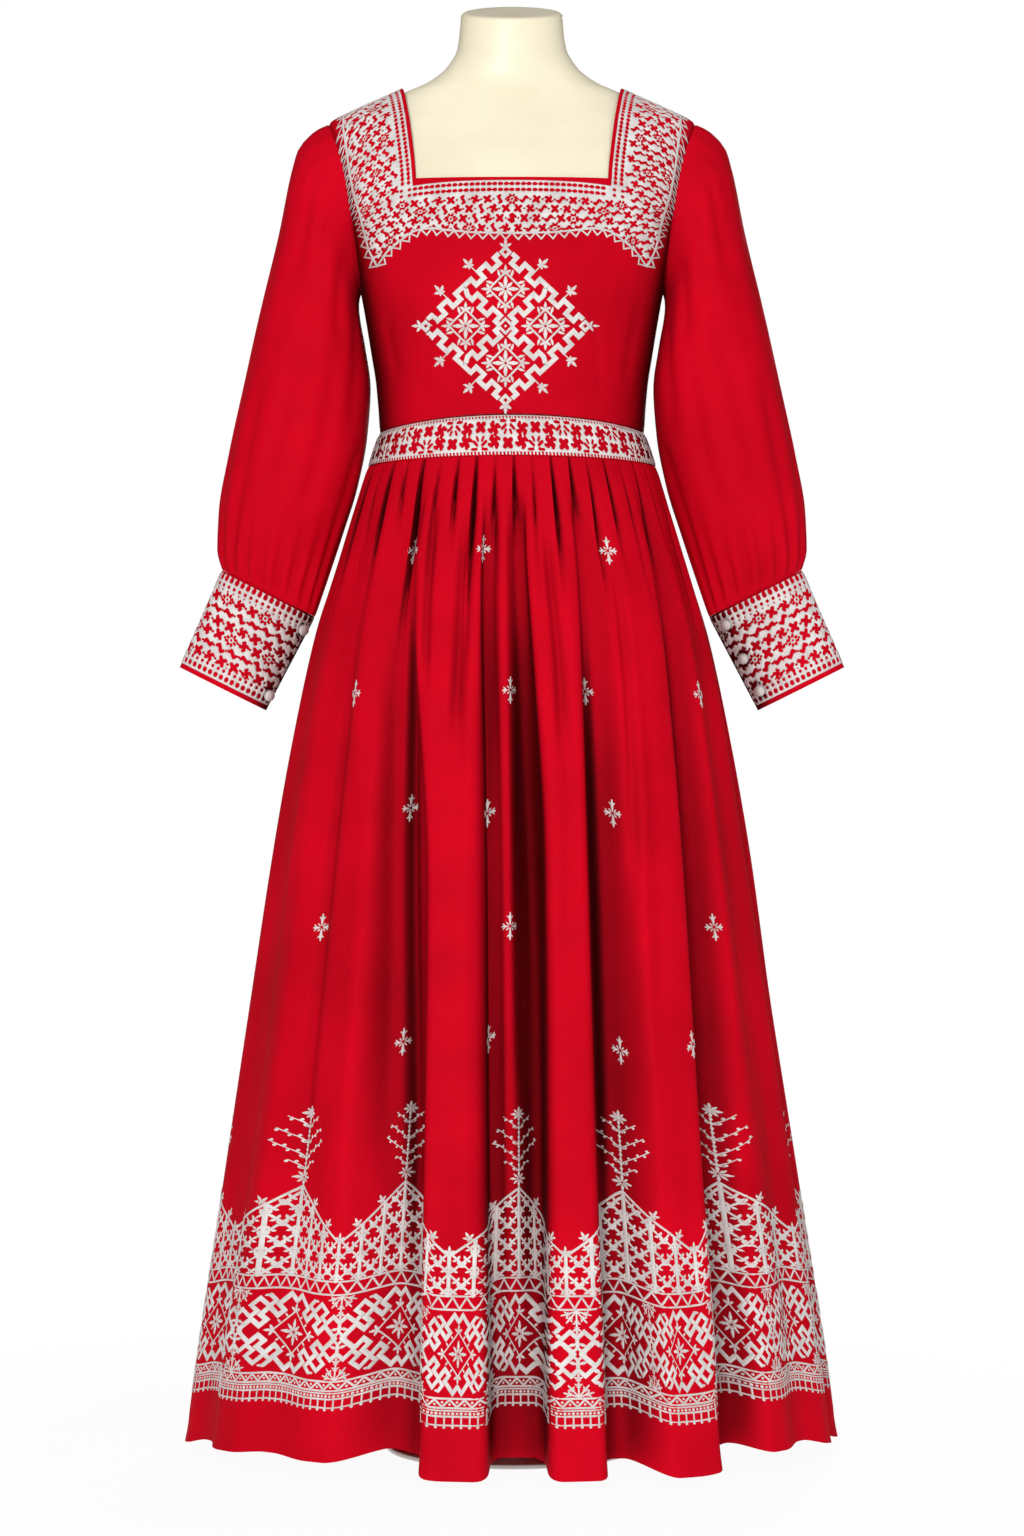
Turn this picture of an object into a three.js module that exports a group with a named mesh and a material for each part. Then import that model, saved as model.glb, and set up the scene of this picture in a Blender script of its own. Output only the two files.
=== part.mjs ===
// Embroidered maxi dress standing on a limbless dress form.
// Millimetres. +Z is up, the dress faces -Y, and +X is to the right as seen from the front.
// The origin is on the floor, under the middle of the stand.
// Left and right in the names are as seen from the front.
import * as THREE from 'three';

const turn = Math.PI * 2;
const degree = Math.PI / 180;

// Driving sizes
const clothWall = 1.6;
const bandWall = 2.2;
const seamGap = 0.3;

// The torso that the bodice is cut to, and the form inside it.
// ease is how far the form's skin lies inside the bodice's outer face.
const torsoRows = [
  { height: 790, width: 158, front: 96, back: 108, square: 2.1, ease: 8 },
  { height: 850, width: 168, front: 102, back: 114, square: 2.1, ease: 8 },
  { height: 930, width: 164, front: 102, back: 110, square: 2.15, ease: 8 },
  { height: 1000, width: 146, front: 101, back: 98, square: 2.2, ease: 8 },
  { height: 1053, width: 138, front: 101, back: 93, square: 2.2, ease: 8 },
  { height: 1100, width: 141, front: 110, back: 96, square: 2.2, ease: 7 },
  { height: 1133, width: 146, front: 118, back: 99, square: 2.25, ease: 6 },
  { height: 1197, width: 157, front: 127, back: 104, square: 2.35, ease: 4 },
  { height: 1250, width: 169, front: 118, back: 107, square: 2.4, ease: 3 },
  { height: 1306, width: 182, front: 97, back: 106, square: 2.45, ease: 2.6 },
  { height: 1340, width: 190, front: 82, back: 100, square: 2.4, ease: 4.5 },
  { height: 1359, width: 193.5, front: 72, back: 94, square: 2.35, ease: 6.5 },
  { height: 1374, width: 191, front: 64, back: 87, square: 2.3, ease: 7 },
  { height: 1386, width: 170, front: 56, back: 80, square: 2.25, ease: 6 },
  { height: 1394, width: 153, front: 52, back: 76, square: 2.2, ease: 6 },
  { height: 1401, width: 137, front: 49, back: 73, square: 2.2, ease: 5.5 },
  { height: 1411, width: 116, front: 46, back: 69, square: 2.15, ease: 5 },
  { height: 1422, width: 89, front: 44, back: 66, square: 2.1, ease: 4 },
  { height: 1436, width: 70, front: 43, back: 63, square: 2.05, ease: 3 },
  { height: 1455, width: 59, front: 42, back: 61, square: 2, ease: 2.4 },
  { height: 1494, width: 55, front: 41, back: 58, square: 2, ease: 2.4 },
];
const pivotHeight = 1250;
const shoulderHeight = 1411;
const liftPerRadian = 100;

// The form's neck is cut off flat, lower at the front
const neckCutTilt = Math.tan(18 * degree);
const neckCutStart = 1455;
const neckTop = 1494;
const neckMiddle = 9;
const formBottom = 790;
const formColumns = 36;

// Stand
const poleRadius = 12.5;
const collarRadius = 30;
const collarHeight = 14;
const collarEdge = 4;
const poleSides = 24;
const baseRadius = 130;
const baseHeight = 5;
const baseBevel = 2;
const baseSides = 48;

// Armhole, seen from the side: an oval on the torso
const underarmHeight = 1197;
const armholeMiddle = 1286;
const armholeHalfHeight = 89;
const armholeFront = 46;
const armholeBack = 46;

// Neckline: square in front, shallow behind
const chestHeight = 1306;
const chestAngle = 32.6 * degree;
const neckPointX = 116;
const chestTurn = 1.35;
const backNeckHeight = 1388;
const backNeckCrowding = 1.6;
const strapCurve = 1.6;

// Bodice grid
const centreColumns = 5;
const strapColumns = 6;
const sideRows = 5;
const chestRows = 5;
const strapRows = 7;

// Waistband
const bandTopSide = 1053;
const bandTopRise = 12;
const bandBottomSide = 1018;
const bandBottomRise = 4;
const bandBottom = { width: 150, front: 110, back: 102, square: 2.15 };
const bandColumns = 64;

// Skirt: the outermost reach of the cloth at each height. Folds go in from it.
const skirtRows = [
  { height: 0, width: 340, front: 266, back: 268, square: 2 },
  { height: 70, width: 331, front: 259, back: 262, square: 2 },
  { height: 257, width: 303, front: 238, back: 240, square: 2 },
  { height: 444, width: 275, front: 216, back: 219, square: 2 },
  { height: 631, width: 246.5, front: 193, back: 197, square: 2 },
  { height: 725, width: 230, front: 180, back: 184, square: 2 },
  { height: 839, width: 206, front: 160, back: 163, square: 2.05 },
  { height: 940, width: 176, front: 134, back: 135, square: 2.1 },
  { height: 1005, width: 154.5, front: 115, back: 108, square: 2.15 },
  { height: 1018, width: 150, front: 110, back: 102, square: 2.15 },
];
const pleatCount = 44;
const columnsPerPleat = 4;
const pleatDepth = 7;
const pleatTop = 1018;
const pleatFull = 1000;
const pleatEnd = 830;
const pleatShareAtBand = 0.25;
const skirtLevels = [0, 0.018, 0.065, 0.15, 0.29, 0.46, 0.65, 0.84, 1];

// Height of the hem's crests above the floor, by degrees round from the middle of the front
const hemRows = [
  { angle: -180, height: 16 },
  { angle: -90, height: 10 },
  { angle: -60, height: 20 },
  { angle: -38, height: 23 },
  { angle: -24, height: 22 },
  { angle: -12, height: 12 },
  { angle: 12, height: 12 },
  { angle: 33, height: 10 },
  { angle: 52, height: 24 },
  { angle: 64, height: 22 },
  { angle: 90, height: 10 },
  { angle: 180, height: 16 },
];
const hemValleyRise = 17;
const hemFullValley = 40;

// Valleys between the skirt's folds, in degrees round from the middle of the front.
// top, middle and hem are where the valley runs at those heights; left and right are its
// half widths; deepTop, deepMiddle and deepHem are its depths; a lean makes that side steep;
// spread widens it at the top. A negative depth is a ridge inside a valley.
const valleyHeights = { hem: 60, middle: 600, top: 920 };
const valleyRows = [
  { top: -78, middle: -74, hem: -72, left: 12, right: 11, deepTop: 4, deepMiddle: 8, deepHem: 12,
    leanLeft: 0.02, leanRight: 0.04, floor: 0.1, spread: 1 },
  { top: -57, middle: -51, hem: -47, left: 10, right: 10, deepTop: 4, deepMiddle: 6, deepHem: 7,
    leanLeft: 0, leanRight: 0, floor: 0.1, spread: 1 },
  { top: -35, middle: -23, hem: -18.8, left: 15, right: 4.6, deepTop: 9, deepMiddle: 25, deepHem: 35,
    leanLeft: 0, leanRight: 0.13, floor: 0.15, spread: 1.1 },
  { top: -2.6, middle: 0.7, hem: 1.1, left: 7.4, right: 7.4, deepTop: 11, deepMiddle: 31, deepHem: 40,
    leanLeft: 0.1, leanRight: 0.1, floor: 0.35, spread: 1.42 },
  { top: -3, middle: -1.2, hem: 0.4, left: 3.6, right: 3.6, deepTop: -7, deepMiddle: -10, deepHem: 0,
    leanLeft: 0, leanRight: 0, floor: 0.1, spread: 1.2 },
  { top: 24, middle: 21.1, hem: 19.2, left: 4.6, right: 10, deepTop: 9, deepMiddle: 25, deepHem: 35,
    leanLeft: 0.13, leanRight: 0, floor: 0.15, spread: 1.1 },
  { top: 53.7, middle: 47.6, hem: 41.6, left: 4.8, right: 10, deepTop: 8, deepMiddle: 23, deepHem: 34,
    leanLeft: 0.13, leanRight: 0.02, floor: 0.15, spread: 1.1 },
  { top: 70, middle: 66, hem: 63, left: 9, right: 9, deepTop: 4, deepMiddle: 8, deepHem: 10,
    leanLeft: 0, leanRight: 0, floor: 0.1, spread: 1 },
  { top: 85, middle: 83, hem: 82, left: 8, right: 10, deepTop: 5, deepMiddle: 10, deepHem: 14,
    leanLeft: 0.04, leanRight: 0.02, floor: 0.1, spread: 1 },
  { top: 104, middle: 103, hem: 102, left: 8, right: 7, deepTop: 7, deepMiddle: 16, deepHem: 24,
    leanLeft: 0.06, leanRight: 0.1, floor: 0.15, spread: 1 },
  { top: 122, middle: 120, hem: 119, left: 7, right: 8, deepTop: 8, deepMiddle: 22, deepHem: 33,
    leanLeft: 0.11, leanRight: 0.06, floor: 0.2, spread: 1 },
  { top: 136, middle: 137, hem: 138, left: 8, right: 6, deepTop: 7, deepMiddle: 17, deepHem: 26,
    leanLeft: 0.04, leanRight: 0.11, floor: 0.15, spread: 1 },
  { top: 158, middle: 156, hem: 155, left: 6, right: 9, deepTop: 8, deepMiddle: 24, deepHem: 36,
    leanLeft: 0.12, leanRight: 0.05, floor: 0.2, spread: 1.1 },
  { top: 174, middle: 174, hem: 174, left: 8, right: 6, deepTop: 7, deepMiddle: 19, deepHem: 28,
    leanLeft: 0.05, leanRight: 0.11, floor: 0.15, spread: 1 },
  { top: 193, middle: 192, hem: 191, left: 6, right: 8, deepTop: 8, deepMiddle: 22, deepHem: 35,
    leanLeft: 0.12, leanRight: 0.06, floor: 0.2, spread: 1.1 },
  { top: 207, middle: 208, hem: 209, left: 8, right: 7, deepTop: 6, deepMiddle: 16, deepHem: 25,
    leanLeft: 0.05, leanRight: 0.1, floor: 0.15, spread: 1 },
  { top: 228, middle: 228, hem: 227, left: 7, right: 8, deepTop: 8, deepMiddle: 23, deepHem: 36,
    leanLeft: 0.11, leanRight: 0.06, floor: 0.2, spread: 1 },
  { top: 245, middle: 246, hem: 247, left: 8, right: 7, deepTop: 7, deepMiddle: 18, deepHem: 27,
    leanLeft: 0.04, leanRight: 0.1, floor: 0.15, spread: 1 },
  { top: 264, middle: 265, hem: 266, left: 8, right: 9, deepTop: 5, deepMiddle: 10, deepHem: 15,
    leanLeft: 0.05, leanRight: 0.03, floor: 0.1, spread: 1 },
];

// Right sleeve, from the armhole to the cuff. Each row is one section: the ends of its long
// axis outside and inside the arm, its half depth, and where its middle lies in Y.
const sleeveRows = [
  { place: 0, outX: 194, outZ: 1375, inX: 158, inZ: 1197, depth: 48, y: 0 },
  { place: 0.05, outX: 216, outZ: 1363, inX: 159.5, inZ: 1190, depth: 54, y: -1 },
  { place: 0.13, outX: 228, outZ: 1330, inX: 158, inZ: 1174, depth: 58, y: -1 },
  { place: 0.25, outX: 242, outZ: 1262, inX: 152.5, inZ: 1143, depth: 60, y: 0 },
  { place: 0.4, outX: 260, outZ: 1188, inX: 147, inZ: 1100, depth: 61, y: 1 },
  { place: 0.55, outX: 278, outZ: 1110, inX: 150.5, inZ: 1051, depth: 62, y: 3 },
  { place: 0.7, outX: 295, outZ: 1032, inX: 160.5, inZ: 999, depth: 61, y: 4 },
  { place: 0.83, outX: 305.5, outZ: 972, inX: 176, inZ: 949, depth: 57, y: 5 },
  { place: 0.93, outX: 307, outZ: 934, inX: 192, inZ: 901, depth: 42, y: 5 },
  { place: 1, outX: 302, outZ: 912, inX: 205, inZ: 863, depth: 24, y: 5 },
];
const sleeveLevels = [0, 0.03, 0.08, 0.15, 0.26, 0.4, 0.55, 0.7, 0.82, 0.91, 0.965, 1];
const sleeveBlend = 0.1;
const gatherCount = 20;
const cuffGather = 3.2;
const cuffGatherStart = 0.74;
const cuffGatherFull = 0.96;
const cuffGatherEnd = 1.012;
const cuffGatherFade = 0.05;
const headGather = 1.6;
const headGatherFull = 0.03;
const headGatherEnd = 0.22;
const sleeveColumns = 40;

// Right cuff: a flattened straight tube that carries on from the sleeve's last section
const cuffTop = { outX: 302, outZ: 912, inX: 205, inZ: 863, depth: 24 };
const cuffBottom = { outX: 346, outZ: 811, inX: 256, inZ: 766, depth: 22 };
const cuffY = 5;
const cuffLevels = [0, 0.5, 1];

// Cuff buttons: how far down the cuff, and how far round from its inner edge to the front
const buttonRadius = 6;
const buttonHalfHeight = 4.2;
const buttonSets = {
  left: { turn: 28 * degree, places: [0.16, 0.86] },
  right: { turn: 40 * degree, places: [0.14, 0.5, 0.84] },
};

// Fineness of the numeric steps below
const slopeStep = 0.4;
const normalStep = 1e-3;
const settlePasses = 12;
const halvings = 40;
const farthestReach = 300;
const arcSteps = 720;

const cloth = { color: 0xb80318, roughness: 0.75, metalness: 0 };
const thread = { color: 0xe8e4e2, roughness: 0.6, metalness: 0 };
const formSkin = { color: 0xece4c8, roughness: 0.3, metalness: 0 };
const standPaint = { color: 0xe6e4df, roughness: 0.45, metalness: 0.1 };

const mix = (from, to, share) => from + (to - from) * share;
const clamp = (value) => Math.min(1, Math.max(0, value));
const smooth = (value) => clamp(value) * clamp(value) * (3 - 2 * clamp(value));

// Reads one column of a table between its rows, as a smooth line with no overshoot
function readTable(rows, key, column, at) {
  const last = rows.length - 1;
  const place = Math.min(rows[last][key], Math.max(rows[0][key], at));
  let low = 0;
  while (low < last - 1 && rows[low + 1][key] < place) {
    low += 1;
  }
  const rise = (i) => (rows[i + 1][column] - rows[i][column]) / (rows[i + 1][key] - rows[i][key]);
  const slope = (i) => {
    if (i === 0) {
      return rise(0);
    }
    if (i === last) {
      return rise(last - 1);
    }
    const before = rise(i - 1);
    const after = rise(i);
    return before * after <= 0 ? 0 : (2 * before * after) / (before + after);
  };
  const span = rows[low + 1][key] - rows[low][key];
  const share = (place - rows[low][key]) / span;
  const square = share * share;
  const cube = square * share;
  return rows[low][column] * (2 * cube - 3 * square + 1)
    + slope(low) * span * (cube - 2 * square + share)
    + rows[low + 1][column] * (3 * square - 2 * cube)
    + slope(low + 1) * span * (cube - square);
}

function ringAt(rows, height) {
  return {
    width: readTable(rows, 'height', 'width', height),
    front: readTable(rows, 'height', 'front', height),
    back: readTable(rows, 'height', 'back', height),
    square: readTable(rows, 'height', 'square', height),
  };
}

// A point of a rounded ring. The angle is 0 at the middle of the front and grows towards +X.
function ringPoint(ring, angle) {
  const sine = Math.sin(angle);
  const cosine = Math.cos(angle);
  const depth = cosine > 0 ? ring.front : ring.back;
  const power = ring.square;
  const reach = (Math.abs(sine) ** power + Math.abs(cosine) ** power) ** (-1 / power);
  return { x: ring.width * sine * reach, y: -depth * cosine * reach };
}

// Torso surface
function torsoReach(x, y, z) {
  const ring = ringAt(torsoRows, z);
  const depth = y < 0 ? ring.front : ring.back;
  return Math.abs(x / ring.width) ** ring.square + Math.abs(y / depth) ** ring.square;
}

// How fast the reach grows along each axis
function torsoSlope({ x, y, z }) {
  return new THREE.Vector3(
    torsoReach(x + slopeStep, y, z) - torsoReach(x - slopeStep, y, z),
    torsoReach(x, y + slopeStep, z) - torsoReach(x, y - slopeStep, z),
    torsoReach(x, y, z + slopeStep) - torsoReach(x, y, z - slopeStep),
  ).divideScalar(2 * slopeStep);
}

const torsoNormal = (point) => torsoSlope(point).normalize();

function torsoDepth(side, x, z) {
  const ring = ringAt(torsoRows, z);
  const depth = side < 0 ? ring.front : ring.back;
  const share = Math.min(1, Math.abs(x) / ring.width);
  return depth * (1 - share ** ring.square) ** (1 / ring.square);
}

// The torso's point at x. Lift 0 is the pivot's height. Below it a lift is millimetres of
// height, and above it the angle of a line from the pivot, which turns over the shoulder.
function torsoPoint(side, x, lift) {
  if (lift <= 0) {
    const height = pivotHeight + lift;
    return new THREE.Vector3(x, side * torsoDepth(side, x, height), height);
  }
  const angle = lift / liftPerRadian;
  const depthAt = (reach) => side * reach * Math.cos(angle);
  const heightAt = (reach) => pivotHeight + reach * Math.sin(angle);
  let near = 0;
  let far = farthestReach;
  for (let pass = 0; pass < halvings; pass += 1) {
    const middle = (near + far) / 2;
    const inside = torsoReach(x, depthAt(middle), heightAt(middle)) < 1;
    near = inside ? middle : near;
    far = inside ? far : middle;
  }
  return new THREE.Vector3(x, depthAt(near), heightAt(near));
}

// Moves a point that lies near the torso's surface onto it
function ontoTorso(point) {
  for (let pass = 0; pass < settlePasses; pass += 1) {
    const slope = torsoSlope(point);
    const missing = 1 - torsoReach(point.x, point.y, point.z);
    point.addScaledVector(slope, missing / slope.lengthSq());
  }
  return point;
}

function liftOf(point) {
  const rise = point.z - pivotHeight;
  return rise <= 0 ? rise : liftPerRadian * Math.atan2(rise, Math.abs(point.y));
}

// The armhole: 0 at the shoulder, half a turn at the underarm. Side -1 is the front.
function armholePoint(side, around) {
  const reach = side < 0 ? armholeFront : armholeBack;
  const y = side * reach * Math.abs(Math.sin(around));
  const z = armholeMiddle + armholeHalfHeight * Math.cos(around);
  const ring = ringAt(torsoRows, z);
  const depth = side < 0 ? ring.front : ring.back;
  const x = ring.width * (1 - Math.abs(y / depth) ** ring.square) ** (1 / ring.square);
  return new THREE.Vector3(x, y, z);
}

// Where the armhole meets each of the bodice's rows above the underarm
function armholeTurn(row) {
  const toChest = (row - sideRows) / chestRows;
  const toShoulder = (row - sideRows - chestRows) / strapRows;
  return toChest <= 1 ? mix(Math.PI, chestTurn, toChest) : mix(chestTurn, 0, toShoulder);
}

// Waistband edges. They arch up at the front; across is how far out to the side, 0 to 1.
function bandTopHeight(side, across) {
  return bandTopSide + (side < 0 ? bandTopRise * (1 - across ** 2) : 0);
}

function bandBottomHeight(side, across) {
  return bandBottomSide + (side < 0 ? bandBottomRise * (1 - across ** 2) : 0);
}

function bandPoint(angle, share) {
  const topRing = ringAt(torsoRows, bandTopSide);
  const top = ringPoint(topRing, angle);
  const bottom = ringPoint(bandBottom, angle);
  const side = -Math.sign(Math.cos(angle));
  const topHeight = bandTopHeight(side, top.x / topRing.width);
  const height = mix(topHeight, bandBottomHeight(side, bottom.x / bandBottom.width), share);
  return new THREE.Vector3(mix(top.x, bottom.x, share), mix(top.y, bottom.y, share), height);
}

// The edge of the neckline behind: 0 at the centre back, a quarter of a turn at the shoulder
function backNeckPoint(around) {
  const height = mix(backNeckHeight, shoulderHeight, 1 - Math.cos(around));
  const x = neckPointX * Math.sin(around);
  return new THREE.Vector3(x, torsoDepth(1, x, height), height);
}

// One point of a bodice panel's outer face. Columns run from one armhole to the other.
function bodicePoint(side, row, column) {
  const across = Math.abs(column);
  const mirror = Math.sign(column);
  const inCentre = across <= centreColumns;
  const outward = (across - centreColumns) / strapColumns;
  if (row <= sideRows) {
    const angle = inCentre
      ? (chestAngle * across) / centreColumns
      : mix(chestAngle, Math.PI / 2, outward);
    const bottom = bandTopHeight(side, Math.sin(angle)) + seamGap;
    const height = mix(bottom, underarmHeight, row / sideRows);
    const x = ringAt(torsoRows, height).width * Math.sin(angle);
    return new THREE.Vector3(mirror * x, side * torsoDepth(side, x, height), height);
  }
  const toChest = (row - sideRows) / chestRows;
  const toShoulder = clamp((row - sideRows - chestRows) / strapRows);
  const edge = armholePoint(side, armholeTurn(row));
  const centreShare = Math.min(1, across / centreColumns);
  const height = mix(underarmHeight, chestHeight, clamp(toChest));
  const x = ringAt(torsoRows, height).width * Math.sin(chestAngle * centreShare);
  const point = new THREE.Vector3(x, side * torsoDepth(side, x, height), height);
  if (toShoulder > 0 && side > 0) {
    const around = (Math.PI / 2) * (1 - (1 - centreShare) ** backNeckCrowding);
    ontoTorso(point.lerp(backNeckPoint(around), toShoulder));
  }
  if (toShoulder > 0 && side < 0) {
    const strapX = mix(x, neckPointX, toShoulder ** strapCurve);
    const lift = mix(liftOf(point), (liftPerRadian * Math.PI) / 2, toShoulder);
    point.copy(torsoPoint(side, strapX, lift));
  }
  if (!inCentre) {
    point.lerp(edge, outward);
    if (outward < 1) {
      ontoTorso(point);
    }
  }
  point.x *= mirror;
  return point;
}

// Skirt surface
const halfTurn = (side, share) => -Math.PI / 2 - side * Math.PI * share;

// Lengths along the front or back half of the waist, from its -X end
function waistLengths(side) {
  const lengths = [0];
  let last = ringPoint(bandBottom, halfTurn(side, 0));
  for (let step = 1; step <= arcSteps; step += 1) {
    const next = ringPoint(bandBottom, halfTurn(side, step / arcSteps));
    lengths.push(lengths[step - 1] + Math.hypot(next.x - last.x, next.y - last.y));
    last = next;
  }
  return lengths;
}

const frontLengths = waistLengths(-1);
const backLengths = waistLengths(1);

// The angle at a share of the front half or back half of the waist, by length along it
function waistAngle(side, share) {
  const lengths = side < 0 ? frontLengths : backLengths;
  const wanted = share * lengths[arcSteps];
  let step = 1;
  while (step < arcSteps && lengths[step] < wanted) {
    step += 1;
  }
  const part = (wanted - lengths[step - 1]) / (lengths[step] - lengths[step - 1]);
  return halfTurn(side, (step - 1 + part) / arcSteps);
}

function valleyAt(row, column, height) {
  const names = column === 'angle'
    ? { hem: 'hem', middle: 'middle', top: 'top' }
    : { hem: 'deepHem', middle: 'deepMiddle', top: 'deepTop' };
  const line = [
    { height: valleyHeights.hem, value: row[names.hem] },
    { height: valleyHeights.middle, value: row[names.middle] },
    { height: valleyHeights.top, value: row[names.top] },
  ];
  return readTable(line, 'height', 'value', height);
}

// How deep the folds are at an angle and height, and how far they push the cloth sideways
function foldsAt(angle, height) {
  const fade = smooth((pleatTop - height) / (pleatTop - valleyHeights.top));
  let depth = 0;
  let shift = 0;
  for (const row of valleyRows) {
    const spread = mix(1, row.spread, clamp((height - valleyHeights.hem) / valleyHeights.middle));
    const away = angle / degree - valleyAt(row, 'angle', height);
    const wrapped = away - 360 * Math.round(away / 360);
    const half = (wrapped < 0 ? row.left : row.right) * spread;
    const share = Math.abs(wrapped) / half;
    if (share < 1) {
      const flank = clamp((share - row.floor) / (1 - row.floor));
      const lean = wrapped < 0 ? row.leanLeft : row.leanRight;
      depth += valleyAt(row, 'depth', height) * fade * (1 - smooth(flank));
      shift += Math.sign(wrapped) * lean * half * fade * Math.sin(turn * flank) * degree;
    }
  }
  return { depth, shift };
}

function pleatsAt(pleatShare, height) {
  const grow = mix(pleatShareAtBand, 1, smooth((pleatTop - height) / (pleatTop - pleatFull)));
  const fade = smooth((height - pleatEnd) / (pleatFull - pleatEnd));
  return pleatDepth * grow * fade * 0.5 * (1 - Math.cos(turn * pleatShare));
}

function hemHeight(angle) {
  const deep = foldsAt(angle, valleyHeights.hem).depth;
  const bearing = angle / degree - 360 * Math.round(angle / degree / 360);
  const crest = readTable(hemRows, 'angle', 'height', bearing);
  return crest + (hemValleyRise * Math.max(0, deep)) / hemFullValley;
}

// A point of the skirt. Side -1 is the front half, and across runs from its -X seam to its +X
// seam. Down is 0 at the band and 1 at the hem.
function skirtPoint(side, across, down) {
  const angle = waistAngle(side, across);
  const reach = ringPoint(bandBottom, angle).x / bandBottom.width;
  const height = mix(bandBottomHeight(side, reach) - seamGap, hemHeight(angle), down);
  const folds = foldsAt(angle, height);
  const ring = ringAt(skirtRows, height);
  const crest = ringPoint(ring, angle + folds.shift);
  const reachY = side < 0 ? ring.front : ring.back;
  const outward = new THREE.Vector2(crest.x / ring.width ** 2, crest.y / reachY ** 2).normalize();
  const depth = folds.depth + pleatsAt((across * pleatCount) / 2, height);
  return new THREE.Vector3(crest.x - outward.x * depth, crest.y - outward.y * depth, height);
}

// Sleeve and cuff surfaces, for the right arm. Around is 0 at the outer side of the arm and
// a quarter of a turn at the front.
function sectionPoint(section, around) {
  const middleX = (section.outX + section.inX) / 2;
  const middleZ = (section.outZ + section.inZ) / 2;
  const halfX = (section.outX - section.inX) / 2;
  const halfZ = (section.outZ - section.inZ) / 2;
  return new THREE.Vector3(
    middleX + halfX * Math.cos(around),
    section.y - section.depth * Math.sin(around),
    middleZ + halfZ * Math.cos(around),
  );
}

// The sleeve's first edge runs beside the bodice's, from one of its corners to the next
function armholeRing(around) {
  const side = Math.sin(around) >= 0 ? -1 : 1;
  const folded = Math.acos(Math.cos(around));
  let row = sideRows;
  while (row < sideRows + chestRows + strapRows - 1 && armholeTurn(row + 1) > folded) {
    row += 1;
  }
  const share = (armholeTurn(row) - folded) / (armholeTurn(row) - armholeTurn(row + 1));
  const next = armholePoint(side, armholeTurn(row + 1));
  const point = armholePoint(side, armholeTurn(row)).lerp(next, share);
  const inward = new THREE.Vector3(0, -point.y, armholeMiddle - point.z).normalize();
  return point.addScaledVector(inward, seamGap).add(new THREE.Vector3(seamGap, 0, 0));
}

function sleevePoint(around, place) {
  const section = { y: readTable(sleeveRows, 'place', 'y', place) };
  for (const column of ['outX', 'outZ', 'inX', 'inZ', 'depth']) {
    section[column] = readTable(sleeveRows, 'place', column, place);
  }
  const point = sectionPoint(section, around);
  const blend = smooth(place / sleeveBlend);
  point.lerp(armholeRing(around), 1 - blend);
  const cuffEnd = smooth((place - cuffGatherStart) / (cuffGatherFull - cuffGatherStart))
    * smooth((cuffGatherEnd - place) / cuffGatherFade);
  const headEnd = smooth(place / headGatherFull)
    * smooth((headGatherEnd - place) / headGatherEnd)
    * Math.max(0, Math.cos(around));
  const wave = 0.5 * (Math.cos(gatherCount * around) - 1);
  const middle = sectionPoint(section, 0).add(sectionPoint(section, Math.PI)).multiplyScalar(0.5);
  const outward = point.clone().sub(middle).normalize();
  return point.addScaledVector(outward, wave * (cuffGather * cuffEnd + headGather * headEnd));
}

function cuffPoint(around, down) {
  const section = { y: cuffY };
  for (const column of ['outX', 'outZ', 'inX', 'inZ', 'depth']) {
    section[column] = mix(cuffTop[column], cuffBottom[column], down);
  }
  return sectionPoint(section, around);
}

// Normal of a surface given as a function of two parameters
function surfaceNormal(surface, first, second, firstLimits, secondLimits, outwardFrom) {
  const low = (value, limits) => Math.max(limits[0], value - normalStep);
  const high = (value, limits) => Math.min(limits[1], value + normalStep);
  const along = surface(high(first, firstLimits), second).sub(surface(low(first, firstLimits), second));
  const down = surface(first, high(second, secondLimits)).sub(surface(first, low(second, secondLimits)));
  const normal = along.cross(down).normalize();
  const outward = surface(first, second).sub(outwardFrom);
  return normal.dot(outward) < 0 ? normal.negate() : normal;
}

// Which corner a cell is split from, so that the split bulges outward
function splitCorner(corners, outer, inner, columnCount) {
  const pick = (grid, [row, column]) => grid[row][column % columnCount];
  const bulge = new THREE.Vector3();
  const outward = new THREE.Vector3();
  corners.forEach((corner, i) => {
    bulge.addScaledVector(pick(outer, corner), i % 2 === 0 ? 1 : -1);
    outward.add(pick(outer, corner)).sub(pick(inner, corner));
  });
  return bulge.dot(outward) > 0 ? 0 : 1;
}

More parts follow.
